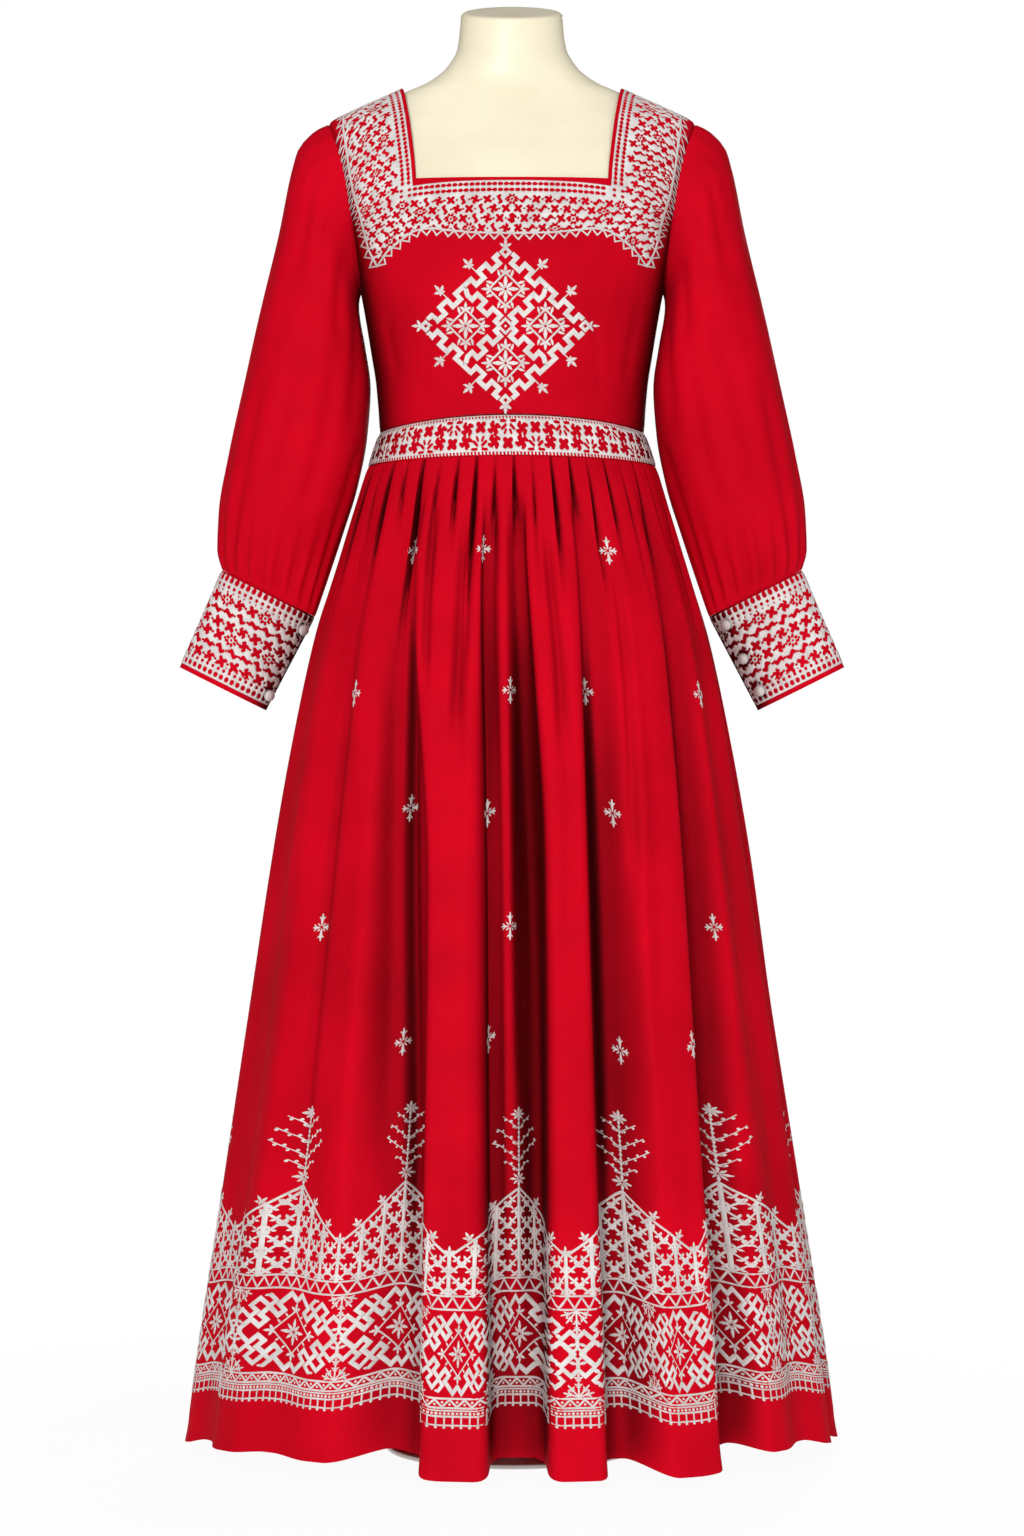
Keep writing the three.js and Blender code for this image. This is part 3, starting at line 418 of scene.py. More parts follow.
def valley_line(row, names, height):
    line = {"height": np.array([VALLEY_HEM, VALLEY_MIDDLE, VALLEY_TOP], float)}
    line["value"] = np.array([row[name] for name in names])
    return read(line, "height", "value", height)


def folds_at(angle, height):
    """How deep the skirt's folds are at an angle in degrees, and how far they push the cloth sideways."""
    fade = smooth((PLEAT_TOP - height) / (PLEAT_TOP - VALLEY_TOP))
    depth, shift = np.zeros_like(fade * angle), np.zeros_like(fade * angle)
    for row in each_row(VALLEYS):
        spread = mix(1, row["spread"], clamp((height - VALLEY_HEM) / VALLEY_MIDDLE))
        away = angle - valley_line(row, ("hem", "middle", "top"), height)
        away = away - 360 * np.round(away / 360)
        half = np.where(away < 0, row["left"], row["right"]) * spread
        share = np.abs(away) / half
        flank = clamp((share - row["floor"]) / (1 - row["floor"]))
        lean = np.where(away < 0, row["lean_left"], row["lean_right"])
        deep = valley_line(row, ("deep_hem", "deep_middle", "deep_top"), height)
        depth += np.where(share < 1, deep * fade * (1 - smooth(flank)), 0)
        push = np.sign(away) * lean * half * fade * np.sin(TURN * flank)
        shift += np.where(share < 1, push, 0)
    return depth, shift


def hem_height(angle):
    deep = np.maximum(0, folds_at(angle, VALLEY_HEM + 0 * angle)[0])
    bearing = angle - 360 * np.round(angle / 360)
    return read(HEM, "angle", "height", bearing) + HEM_VALLEY_RISE * deep / HEM_FULL_VALLEY


# How low each pleat runs before it melts into the folds, from the left side seam and repeated
PLEAT_ENDS = np.array([
    850, 905, 790, 880, 835, 925, 770, 865, 900, 740, 870, 915, 800, 845, 930, 760, 890, 825,
])
PLEAT_DEPTHS = np.array([1.3, 0.7, 1.1, 0.5, 1.25, 0.8, 1.45, 0.6, 1, 1.35, 0.75, 1.15, 0.55, 1.2])
PLEAT_LOOSE = 965
# From a pleat's low end to its top: the share its edge takes, and how steeply its face comes back
PLEAT_EDGES = (0.3, 0.1)
PLEAT_POWERS = (1.5, 7)


def pleats_at(angle, height):
    """Depth of the knife pleats: each face slopes back under the sharp edge of the one before."""
    place = np.interp(angle, WAIST_ANGLES, WAIST_PLEATS)
    number = np.floor(place).astype(int)
    end = PLEAT_ENDS[number % len(PLEAT_ENDS)]
    deep = PLEAT_DEPTHS[number % len(PLEAT_DEPTHS)]
    grow = mix(PLEAT_SHARE_AT_BAND, 1, clamp((PLEAT_TOP - height) / (PLEAT_TOP - PLEAT_LOOSE)))
    fade = smooth((height - end) / (PLEAT_FULL - end))
    share = place - number
    edge = mix(*PLEAT_EDGES, fade)
    fall = smooth(share / edge)
    power = mix(*PLEAT_POWERS, smooth((height - end) / (PLEAT_TOP - end)))
    rise_back = (1 - clamp((share - edge) / (1 - edge))) ** power
    return PLEAT_DEPTH * deep * grow * fade * fall * rise_back


# Soft creases of the skirt: where each starts and ends, by angle and height, its half width and depth
SKIRT_CREASES = table(
    "low_angle low_height high_angle high_height width depth",
    (-18.5, 120, -31, 985, 1.9, 9),
    (-26, 260, -36.5, 900, 2.4, 5),
    (-5.6, 100, -7.5, 900, 2.1, 10),
    (5.8, 100, 3.2, 945, 2.3, 11),
    (17.8, 160, 20.5, 985, 1.9, 9),
    (41.5, 160, 50, 970, 2, 8),
    (-46, 200, -52, 960, 2.4, 6),
    (30, 560, 34, 975, 1.7, 6),
    (12.5, 700, 11.5, 990, 1.5, 5),
    (-14, 720, -17, 990, 1.6, 6),
    (-24, 760, -27, 992, 1.5, 5),
    (-66, 130, -64, 700, 5, 3.5),
    (-58, 60, -60, 520, 4, -2.5),
    (-40, 90, -44, 760, 4.5, 3.5),
    (-33, 300, -39, 880, 3, -2.5),
    (-29, 60, -31, 560, 3.2, 2.8),
    (-12, 60, -13, 420, 2.4, 1.6),
    (-9.5, 500, -16, 930, 2, 2.4),
    (-6.5, 60, -6.5, 300, 2, -1.4),
    (2.5, 330, 1.5, 850, 1.5, 2.4),
    (9.5, 60, 9.5, 460, 2.2, 1.6),
    (12, 480, 15, 930, 2, 2.4),
    (25.5, 90, 29, 640, 2.4, 2.4),
    (31, 380, 40, 900, 2.6, 2.6),
    (35, 60, 36, 420, 2.4, 1.8),
    (52, 120, 57, 760, 4, 3.6),
    (60, 60, 62, 480, 3.4, -2.4),
    (72, 200, 76, 820, 4, 3),
    (95, 80, 93, 640, 3.5, 2.6),
    (111, 60, 112, 520, 3, -2),
    (128, 150, 129, 860, 3, 3),
    (147, 60, 147, 600, 2.6, 2.4),
    (165, 120, 166, 760, 3, 2.8),
    (183, 60, 183, 480, 3, -2),
    (200, 180, 200, 840, 3, 2.8),
    (218, 60, 217, 560, 3, 2.4),
    (237, 140, 237, 700, 3, 2.8),
    (256, 60, 255, 520, 3.2, -2),
)


CREASE_WANDER = 0.35
CREASE_LOW_FADE = 0.25
CREASE_HIGH_FADE = 0.35


def creases_at(creases, across, along):
    """Depth of soft troughs that each run along a slanting line and fade at both ends."""
    total = np.zeros_like(across * along)
    for low_across, low_along, high_across, high_along, width, depth in zip(*creases.values()):
        share = (along - low_along) / (high_along - low_along)
        middle = mix(low_across, high_across, clamp(share))
        middle = middle + CREASE_WANDER * width * np.sin(5 * share + low_across)
        fade = smooth(share / CREASE_LOW_FADE) * smooth((1 - share) / CREASE_HIGH_FADE)
        total += depth * fade * bell(across - middle, width)
    return total


def skirt_point(angle, down):
    """A point of the skirt at an angle in degrees. Down is 0 at the band and 1 at the hem."""
    radians = angle * DEGREE
    side = np.where(angle <= 90, FRONT, BACK)
    reach = ring_point(BAND_BOTTOM, radians)[0] / BAND_BOTTOM["width"]
    height = mix(band_bottom_height(side, reach) - SEAM_GAP, hem_height(angle), down)
    depth, shift = folds_at(angle, height)
    ring = ring_at(SKIRT, height)
    x, y = ring_point(ring, radians + shift * DEGREE)
    outward = unit(stack(x / ring["width"] ** 2, y / np.where(side < 0, ring["front"], ring["back"]) ** 2, 0))
    depth = depth + pleats_at(angle, height) + creases_at(SKIRT_CREASES, angle, height)
    return stack(x, y, height) - outward * depth[..., None]


# Sleeves and cuffs, for the right arm


def section_point(columns, key, place, around):
    """Around is 0 at the outer side of the arm and a quarter of a turn at the front."""
    at = {name: read(columns, key, name, place) for name in ("outX", "outZ", "inX", "inZ", "depth", "y")}
    cosine = np.cos(around)
    return stack(
        (at["outX"] + at["inX"]) / 2 + (at["outX"] - at["inX"]) / 2 * cosine,
        at["y"] - at["depth"] * np.sin(around),
        (at["outZ"] + at["inZ"]) / 2 + (at["outZ"] - at["inZ"]) / 2 * cosine,
    )


def armhole_ring(around):
    side = np.where(np.sin(around) >= 0, FRONT, BACK)
    point = armhole_point(side, np.arccos(np.cos(around)))
    inward = unit(stack(0, -point[..., 1], ARMHOLE_MIDDLE - point[..., 2]))
    return point + SEAM_GAP * inward + SEAM_GAP * np.array([1, 0, 0])


# Soft creases of a sleeve: round the arm in degrees (0 outside, 90 in front), and down it by share
SLEEVE_CREASES = table(
    "low_around low_place high_around high_place width depth",
    (62, 0.02, 58, 0.34, 9, 3),
    (96, 0.03, 88, 0.3, 8, 2.6),
    (128, 0.02, 112, 0.42, 9, 3.6),
    (30, 0.04, 40, 0.6, 11, -2.4),
    (84, 0.3, 70, 0.86, 10, 3.2),
    (118, 0.36, 104, 0.93, 9, 3.4),
    (48, 0.5, 44, 0.97, 8, 2.8),
    (146, 0.1, 140, 0.62, 9, 3),
    (16, 0.45, 20, 0.95, 8, 2.4),
    (160, 0.55, 150, 0.97, 8, 3),
    (215, 0.04, 225, 0.5, 10, 3),
    (255, 0.05, 250, 0.44, 9, 3),
    (290, 0.04, 296, 0.6, 10, 2.6),
    (240, 0.42, 246, 0.95, 9, 3.2),
    (205, 0.5, 200, 0.96, 8, 2.8),
    (275, 0.5, 282, 0.96, 9, 3),
    (325, 0.35, 330, 0.95, 9, 2.6),
)


SLEEVE_CREASE_TOP_FADE = 0.05
SLEEVE_CREASE_LOW_FADE = 0.06


def sleeve_point(around, place):
    """A point of a sleeve, whose place is 0 at the armhole and 1 at the cuff."""
    point = section_point(SLEEVE, "place", place, around)
    blend = smooth(place / SLEEVE_BLEND)
    point = mix(point, armhole_ring(around), (1 - blend)[..., None])
    cuff_end = smooth((place - CUFF_GATHER_START) / (CUFF_GATHER_FULL - CUFF_GATHER_START))
    cuff_end = cuff_end * smooth((CUFF_GATHER_END - place) / CUFF_GATHER_FADE)
    head_end = smooth(place / HEAD_GATHER_FULL) * smooth((HEAD_GATHER_END - place) / HEAD_GATHER_END)
    head_end = head_end * np.maximum(0, np.cos(around))
    wave = 0.5 * (np.cos(GATHER_COUNT * around) - 1)
    fade = smooth(place / SLEEVE_CREASE_TOP_FADE) * smooth((1 - place) / SLEEVE_CREASE_LOW_FADE)
    depth = creases_at(SLEEVE_CREASES, np.mod(around / DEGREE, 360), place) * fade
    push = wave * (CUFF_GATHER * cuff_end + HEAD_GATHER * head_end) - depth
    outer, inner = (section_point(SLEEVE, "place", place, turn) for turn in (0.0, math.pi))
    return point + unit(point - (outer + inner) / 2) * push[..., None]


def cuff_point(around, down):
    return section_point(CUFF_ENDS, "down", down, around)


CUFF_AXIS = unit(
    cuff_point(0.0, 1.0) + cuff_point(math.pi, 1.0) - cuff_point(0.0, 0.0) - cuff_point(math.pi, 0.0)
)
MIRROR = np.array([-1, 1, 1])


# Meshes


class Panel:
    """A grid of cloth points over two parameters. Columns run along the first and rows along the second."""

    def __init__(self, columns, rows, points, outward_from, wraps=False):
        self.columns, self.rows, self.points, self.wraps = columns, rows, points, wraps
        if wraps:
            padded = np.concatenate([points[:, -1:], points, points[:, :1]], axis=1)
            along = padded[:, 2:] - padded[:, :-2]
        else:
            along = np.gradient(points, axis=1)
        normals = unit(np.cross(along, np.gradient(points, axis=0)))
        outward = points - outward_from
        facing = (normals * outward).sum(-1).mean()
        self.normals = normals if facing > 0 else -normals

    def at(self, across, along):
        """Points and normals at fractions of the grid."""
        grid = np.concatenate([self.points, self.normals], axis=-1)
        columns = self.columns
        if self.wraps:
            grid = np.concatenate([grid, grid[:, :1]], axis=1)
        j, b = locate(columns, across)
        i, a = locate(self.rows, along)
        a, b = a[..., None], b[..., None]
        top = grid[i, j] * (1 - b) + grid[i, j + 1] * b
        low = grid[i + 1, j] * (1 - b) + grid[i + 1, j + 1] * b
        found = top * (1 - a) + low * a
        return found[..., :3], unit(found[..., 3:])


def locate(keys, values):
    index = np.clip(np.searchsorted(keys, values, "right") - 1, 0, len(keys) - 2)
    return index, np.clip((values - keys[index]) / (keys[index + 1] - keys[index]), 0, 1)


CLOTH_CREASE_ANGLE = 50


def new_piece(name, points, faces, material, uvs=None, crease_angle=None):
    """A smooth mesh object in metres from points in millimetres, with one texture coordinate a corner."""
    mesh = bpy.data.meshes.new(name)
    mesh.from_pydata((points * MM).tolist(), [], faces)
    if uvs is not None:
        layer = mesh.uv_layers.new(name="cloth")
        layer.data.foreach_set("uv", np.asarray(uvs, np.float32).ravel())
    mesh.polygons.foreach_set("use_smooth", np.ones(len(faces), bool))
    if crease_angle is not None:
        mesh.set_sharp_from_angle(angle=crease_angle * DEGREE)
    mesh.update()
    thing = bpy.data.objects.new(name, mesh)
    bpy.context.scene.collection.objects.link(thing)
    mesh.materials.append(material)
    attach(thing, "root")
    return thing


def shell(name, node, panel, thickness, material, uv_columns, uv_rows, keep=None):
    """A closed cloth wall on a panel's grid. The texture coordinates are in metres of cloth."""
    row_count, width = panel.points.shape[:2]
    inner = panel.points - panel.normals * thickness
    points = np.concatenate([panel.points.reshape(-1, 3), inner.reshape(-1, 3)])
    cell_columns = width if panel.wraps else width - 1
    cells = np.ones((row_count - 1, cell_columns), bool) if keep is None else keep
    i, j = np.nonzero(cells)

    def number(row, column, layer):
        return layer * row_count * width + row * width + column % width

    def corner_uv(row, column):
        return np.stack([uv_columns[column], uv_rows[row]], axis=-1) * MM

    faces, uvs = [], []
    corners = [(i, j), (i, j + 1), (i + 1, j + 1), (i + 1, j)]
    for layer, order in ((0, (0, 3, 2, 1)), (1, (0, 1, 2, 3))):
        faces.append(np.stack([number(*corners[k], layer) for k in order], axis=-1))
        uvs.append(np.stack([corner_uv(*corners[k]) for k in order], axis=1))
    beside = (((-1, 0), 0, 1), ((0, 1), 1, 2), ((1, 0), 2, 3), ((0, -1), 3, 0))
    for (down, right), start, end in beside:
        row, column = i + down, j + right
        outside = (row < 0) | (row >= row_count - 1)
        if panel.wraps:
            column = column % cell_columns
        else:
            outside = outside | (column < 0) | (column >= cell_columns)
        outside = outside | ~cells[np.clip(row, 0, row_count - 2), np.clip(column, 0, cell_columns - 1)]
        a = tuple(part[outside] for part in corners[start])
        b = tuple(part[outside] for part in corners[end])
        faces.append(np.stack([number(*a, 0), number(*b, 0), number(*b, 1), number(*a, 1)], axis=-1))
        uvs.append(np.stack([corner_uv(*a), corner_uv(*b), corner_uv(*b), corner_uv(*a)], axis=1))
    faces, uvs = np.concatenate(faces), np.concatenate(uvs)
    used_points, faces = np.unique(faces, return_inverse=True)
    points, faces = points[used_points], faces.reshape(-1, 4)
    if signed_volume(points, faces) < 0:
        faces, uvs = faces[:, ::-1], uvs[:, ::-1]
    piece = new_piece(name, points, faces.tolist(), material, uvs, CLOTH_CREASE_ANGLE)
    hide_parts(node)
    return piece


def signed_volume(points, faces):
    a, b, c, d = (points[faces[:, k]] for k in range(4))
    return (a * np.cross(b, c)).sum() + (a * np.cross(c, d)).sum()


def spaced_lengths(points, axis):
    """Mean length along a grid, which gives its texture coordinates."""
    steps = np.linalg.norm(np.diff(points, axis=axis), axis=-1).mean(axis=1 - axis)
    return np.concatenate([[0], np.cumsum(steps)])


def closed_lengths(points, closing):
    """Mean length round a wrapped grid, whose last step back to the start is given."""
    lengths = spaced_lengths(points, 1)
    return np.append(lengths, lengths[-1] + closing)


# Materials


class Look:
    """A material, with short ways to add nodes to it. Settings name a node's property or a socket."""

    def __init__(self, name, base, roughness, **settings):
        self.material = bpy.data.materials.new(name)
        self.material.use_nodes = True
        self.nodes, self.link = self.material.node_tree.nodes, self.material.node_tree.links.new
        self.shader = self.nodes["Principled BSDF"]
        self.shader.inputs["Base Color"].default_value = (*base, 1)
        self.shader.inputs["Roughness"].default_value = roughness
        for socket, value in settings.items():
            self.shader.inputs[socket.replace("_", " ")].default_value = value
        self.place = self.node("TexCoord").outputs["Object"]

    def node(self, kind, **settings):
        node = self.nodes.new("ShaderNode" + kind)
        for name, value in settings.items():
            if hasattr(node, name):
                setattr(node, name, value)
            else:
                node.inputs[name.replace("_", " ")].default_value = value
        return node

    def noise(self, scale, detail):
        noise = self.node("TexNoise", Scale=scale, Detail=detail)
        self.link(self.place, noise.inputs["Vector"])
        return noise.outputs

    def tone(self, share, *stops):
        """A colour that goes from one stop to the next, each of them a position and a colour."""
        ramp = self.node("ValToRGB")
        for element, (position, colour) in zip(ramp.color_ramp.elements, stops):
            element.position = position
            element.color = (*colour, 1)
        self.link(share, ramp.inputs["Fac"])
        return ramp.outputs["Color"]

    def times(self, first, second, factor):
        product = self.node("Mix", data_type="RGBA", blend_type="MULTIPLY")
        product.inputs["Factor"].default_value = factor
        self.link(first, product.inputs["A"])
        self.link(second, product.inputs["B"])
        return product.outputs["Result"]

    def bands(self, direction, scale, distortion):
        """Fine bands across the cloth's own texture coordinates."""
        wave = self.node("TexWave", wave_type="BANDS", bands_direction=direction)
        wave.inputs["Scale"].default_value = scale
        wave.inputs["Distortion"].default_value = distortion
        self.link(self.node("UVMap", uv_map="cloth").outputs["UV"], wave.inputs["Vector"])
        return wave

    def bump(self, height, strength, distance, under=None):
        bump = self.node("Bump", Strength=strength, Distance=distance)
        self.link(height, bump.inputs["Height"])
        if under is not None:
            self.link(under, bump.inputs["Normal"])
        self.link(bump.outputs["Normal"], self.shader.inputs["Normal"])
        return bump.outputs["Normal"]

    def rough(self, share, low, high):
        rough = self.node("MapRange")
        rough.inputs["To Min"].default_value = low
        rough.inputs["To Max"].default_value = high
        self.link(share, rough.inputs["Value"])
        self.link(rough.outputs["Result"], self.shader.inputs["Roughness"])

    def colour(self, source):
        self.link(source, self.shader.inputs["Base Color"])

    def paint_shade_in_folds(self, colour, reach, deepest, dark, own=False):
        """Painted shade: multiplies a colour by less where the cloth around, or the piece's own cloth, shuts
        it in.
        """
        shut = self.node("AmbientOcclusion", samples=6, only_local=own)
        shut.inputs["Distance"].default_value = reach
        shade = self.tone(shut.outputs["AO"], (deepest, dark), (0.93, (1, 1, 1)))
        self.colour(self.times(colour, shade, 1.0))


def cloth_material(name, shade_own_folds_only=False):
    """Red cotton with a fine plain weave, whose tone and roughness vary softly, with shade painted into its
    folds.
    """
    look = Look(
        name, (0.6, 0.001, 0.012), 0.72,
        Sheen_Weight=0.02, Sheen_Roughness=0.5, Sheen_Tint=(1, 0.05, 0.04, 1), Specular_IOR_Level=0.03,
    )
    cloudy = look.noise(9.0, 3.0)["Fac"]
    fine = look.noise(420.0, 2.0)["Color"]
    tone = look.tone(cloudy, (0.3, (0.49, 0.0006, 0.009)), (0.72, (0.64, 0.001, 0.013)))
    # Painted shade: the red grows darker where folds and nearby cloth shut it in.
    look.paint_shade_in_folds(look.times(tone, fine, 0.16), 0.1, 0.58, (0.07, 0.07, 0.07), shade_own_folds_only)
    weave = look.node("Math", operation="ADD")
    for number, direction in enumerate("XY"):
        wave = look.bands(direction, 420.0, 1.4)
        wave.inputs["Detail Scale"].default_value = 1.5
        look.link(wave.outputs["Fac"], weave.inputs[number])
    woven = look.bump(weave.outputs["Value"], 0.35, 0.00012)
    look.bump(look.noise(26.0, 4.0)["Fac"], 0.5, 0.0012, woven)
    look.rough(cloudy, 0.62, 0.82)
    return look.material


def thread_material():
    """Off-white cotton thread laid side by side across each stroke, with shade painted where cloth shuts it
    in.
    """
    look = Look(
        "white_thread", (0.78, 0.75, 0.73), 0.55,
        Sheen_Weight=0.25, Sheen_Roughness=0.35, Specular_IOR_Level=0.35,
    )
    patchy = look.noise(55.0, 3.0)["Fac"]
    tone = look.tone(patchy, (0.32, (0.66, 0.6, 0.58)), (0.66, (0.83, 0.8, 0.78)))
    strands = look.bands("X", 330.0, 1.2)
    # Painted shade: the thread grows darker where nearby cloth and strokes shut it in.
    look.paint_shade_in_folds(look.times(tone, strands.outputs["Color"], 0.2), 0.11, 0.45, (0.42, 0.32, 0.32))
    look.bump(strands.outputs["Fac"], 0.6, 0.00025)
    return look.material


def smooth_shell_material():
    """The form's smooth cream shell, with a faint mottling and a soft gloss."""
    look = Look(
        "form_shell", (0.84, 0.76, 0.56), 0.3,
        Specular_IOR_Level=0.42, Coat_Weight=0.12, Coat_Roughness=0.25,
    )
    cloudy = look.noise(14.0, 4.0)["Fac"]
    look.colour(look.tone(cloudy, (0.35, (0.80, 0.715, 0.52)), (0.7, (0.86, 0.785, 0.59))))
    look.rough(cloudy, 0.34, 0.44)
    look.bump(look.noise(900.0, 2.0)["Fac"], 0.1, 0.0001)
    return look.material


def painted_material():
    """The stand's white powder paint, with its fine orange-peel texture."""
    look = Look("stand_paint", (0.78, 0.76, 0.72), 0.45, Metallic=0.1)
    worn = look.noise(30.0, 5.0)["Fac"]
    look.colour(look.tone(worn, (0.3, (0.70, 0.68, 0.63)), (0.7, (0.80, 0.78, 0.74))))
    look.bump(look.noise(700.0, 2.0)["Fac"], 0.25, 0.0002)
    return look.material


RED = cloth_material("red_cloth")
# The same red with its painted shade taken only from each piece's own folds, for the skirt and sleeves.
RED_OWN_FOLD_SHADE = cloth_material("red_cloth_own_fold_shade", shade_own_folds_only=True)
WHITE = thread_material()
SHELL = smooth_shell_material()
PAINT = painted_material()


# The form and its stand

FORM_COLUMNS = 128
FORM_BOTTOM = 790
CHEST_LEVEL = 1340
NECK_TOP = 1494
NECK_RIM = 4
# How far the first and last rings draw in towards their middles
FORM_CAP = 0.2
NECK_CAP = 0.3
ROUND_CREASE_ANGLE = 40
STAND_CREASE_ANGLE = 30
STAND_COLUMNS = 96


def grid_faces(rows, columns):
    """Quads of a grid whose columns wrap round."""
    i, j = np.meshgrid(np.arange(rows - 1), np.arange(columns), indexing="ij")
    i, j = i.ravel(), j.ravel()
    near, far = i * columns, (i + 1) * columns
    following = (j + 1) % columns
    return np.stack([near + j, near + following, far + following, far + j], axis=-1)


def closed_rings(name, rings, material, crease_angle=ROUND_CREASE_ANGLE):
    """A closed solid through a stack of rings, whose first and last rings shrink to small caps."""
    rows, columns = rings.shape[:2]
    points = rings.reshape(-1, 3)
    faces = grid_faces(rows, columns)
    if signed_volume(points, faces) < 0:
        faces = faces[:, ::-1]
    loops = [np.arange(columns), (rows - 1) * columns + np.arange(columns)]
    tips = [points[loop].mean(axis=0) for loop in loops]
    first_tip = len(points)
    points = np.concatenate([points, np.array(tips)])
    faces = faces.tolist()
    for tip, loop in enumerate(loops, first_tip):
        following = np.roll(loop, -1)
        a, b, c = points[loop[0]], points[following[0]], points[tip]
        flips = np.dot(np.cross(b - a, c - a), c - points.mean(axis=0)) < 0
        for start, end in zip(loop.tolist(), following.tolist()):
            faces.append([end, start, tip] if flips else [start, end, tip])
    return new_piece(name, points, faces, material, crease_angle=crease_angle)


def make_form():
    """The form's skin, a little inside the bodice, with a slanted neck whose rim is rounded."""
    heights = np.unique(np.concatenate([
        np.linspace(FORM_BOTTOM, CHEST_LEVEL, 56),
        np.linspace(CHEST_LEVEL, NECK_CUT_START, 59),
        np.linspace(NECK_CUT_START, NECK_TOP, 14),
    ]))
    angles = np.linspace(0, TURN, FORM_COLUMNS, endpoint=False)
    rings = []
    for height in heights:
        x, y = ring_point(ring_at(TORSO, height), angles)
        point = stack(x, y, height)
        normal = unit(torso_slope(point))
        if height >= NECK_CUT_START or height == FORM_BOTTOM:
            normal[..., 2] = 0
            normal = unit(normal)
        point = point - normal * read(TORSO, "height", "ease", height)
        cut = clamp((height - NECK_CUT_START) / (NECK_TOP - NECK_CUT_START))
        point[..., 2] += cut * NECK_CUT_TILT * (point[..., 1] - NECK_MIDDLE)
        rings.append(point)
    top = rings[-1]
    middle = top.mean(axis=0)
    rings[-1] = top - stack(0, 0, NECK_RIM)
    for slant in QUARTER * np.array([0.25, 0.5, 0.75, 1]):
        ring = top + unit(middle - top) * (NECK_RIM * (1 - np.cos(slant)))
        ring[..., 2] += NECK_RIM * (np.sin(slant) - 1)
        rings.append(ring)
    rings.append(mix(rings[-1], middle, NECK_CAP))
    rings.insert(0, mix(rings[0], rings[0].mean(axis=0), FORM_CAP))
    form = closed_rings("form_skin_smooth", np.array(rings), SHELL)
    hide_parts("form_torso")


POLE_PROFILE = table(
    "radius height",
    (30, 5.3), (30, 8.3), (29.6, 9.2), (28.6, 9.9), (18.4, 18.1), (16.2, 19.3), (13.2, 20.4),
    (12.5, 22.4), (12.5, 400), (12.5, 789.7),
)
BASE_PROFILE = table(
    "radius height",
    (129.4, 0), (130, 0.6), (130, 3), (129.6, 4.1), (128.6, 4.8), (127.4, 5), (60, 5), (26, 5),
)


def make_turned(name, profile, node):
    angles = np.linspace(0, TURN, STAND_COLUMNS, endpoint=False)
    rings = [stack(r * np.cos(angles), r * np.sin(angles), z)
             for r, z in zip(profile["radius"], profile["height"])]
    piece = closed_rings(name, np.array(rings), PAINT, STAND_CREASE_ANGLE)
    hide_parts(node)


make_form()
make_turned("stand_pole_turned", POLE_PROFILE, "form_pole")
make_turned("stand_base_turned", BASE_PROFILE, "form_base")


# Cloth shells


def seam_dip(distance, width=3.5, depth=1.1):
    """How far cloth dips beside a seam, by the distance to it."""
    return depth * bell(distance, width)


# Bust darts and soft creases of the bodice's front: along its height, by x in millimetres
BODICE_CREASES = table(
    "low_x low_z high_x high_z width depth",
    (-92, 1070, -78, 1190, 2.2, 1.6),
    (92, 1070, 78, 1190, 2.2, 1.6),
    (-118, 1100, -128, 1180, 5, 1.6),
    (116, 1090, 130, 1190, 5, 1.6),
    (-60, 1066, -40, 1110, 4, 0.9),
    (58, 1066, 44, 1120, 4, 0.9),
    (-141, 1215, -112, 1275, 5, 1.6),
    (142, 1210, 110, 1272, 5, 1.6),
    (-150, 1250, -138, 1330, 5, 1.2),
    (152, 1246, 140, 1326, 5, 1.2),
)
BACK_CREASES = table(
    "low_x low_z high_x high_z width depth",
    (-60, 1060, -66, 1230, 2, 1.4),
    (60, 1060, 66, 1230, 2, 1.4),
    (-108, 1080, -126, 1200, 5, 1.6),
    (108, 1084, 124, 1204, 5, 1.6),
    (-30, 1062, -16, 1130, 5, 0.9),
    (32, 1062, 22, 1140, 5, 0.9),
    (-142, 1220, -110, 1290, 5, 1.5),
    (140, 1216, 112, 1286, 5, 1.5),
)
BODICE_FINE_COLUMNS = 110
BODICE_FINE_ROWS = 85


# About how much cloth lies between a bodice's columns at the side, and its rows at the waist and shoulder
SIDE_COLUMN_STEP = 12.5
WAIST_ROW_STEP = 27.0
SHOULDER_ROW_STEP = 16.0


# Points inside the body that each piece's outer face looks away from
BODICE_MIDDLE = np.array([0, 0, 1200.0])
BAND_MIDDLE = np.array([0, 0, 1035.0])
SKIRT_MIDDLE = np.array([0, 0, 600.0])


def bodice_grid(side):
    rows = np.linspace(0, SIDE_ROWS + CHEST_ROWS + STRAP_ROWS, BODICE_FINE_ROWS + 1)
    reach = CENTRE_COLUMNS + STRAP_COLUMNS
    columns = np.linspace(-reach, reach, BODICE_FINE_COLUMNS + 1)
    row, column = np.meshgrid(rows, columns, indexing="ij")
    inside = (np.abs(column) < CENTRE_COLUMNS - 1e-9) & (side == FRONT)
    point = bodice_point(side, np.where(inside, np.minimum(row, SIDE_ROWS + CHEST_ROWS), row), column)
    dip = creases_at(BODICE_CREASES if side == FRONT else BACK_CREASES, point[..., 0], point[..., 2])
    dip = dip + seam_dip((reach - np.abs(column)) * SIDE_COLUMN_STEP)
    dip = dip + seam_dip(row * WAIST_ROW_STEP, 5, 0.9)
    dip = dip + seam_dip((rows[-1] - row) * SHOULDER_ROW_STEP, 4, 0.8)
    if side == BACK:
        dip = dip + seam_dip(np.abs(point[..., 0]), 2.4, 1.1)
    point = point - unit(torso_slope(point)) * dip[..., None]
    point[..., 1] = side * np.maximum(SEAM_GAP / 2, side * point[..., 1])
    return rows, columns, point


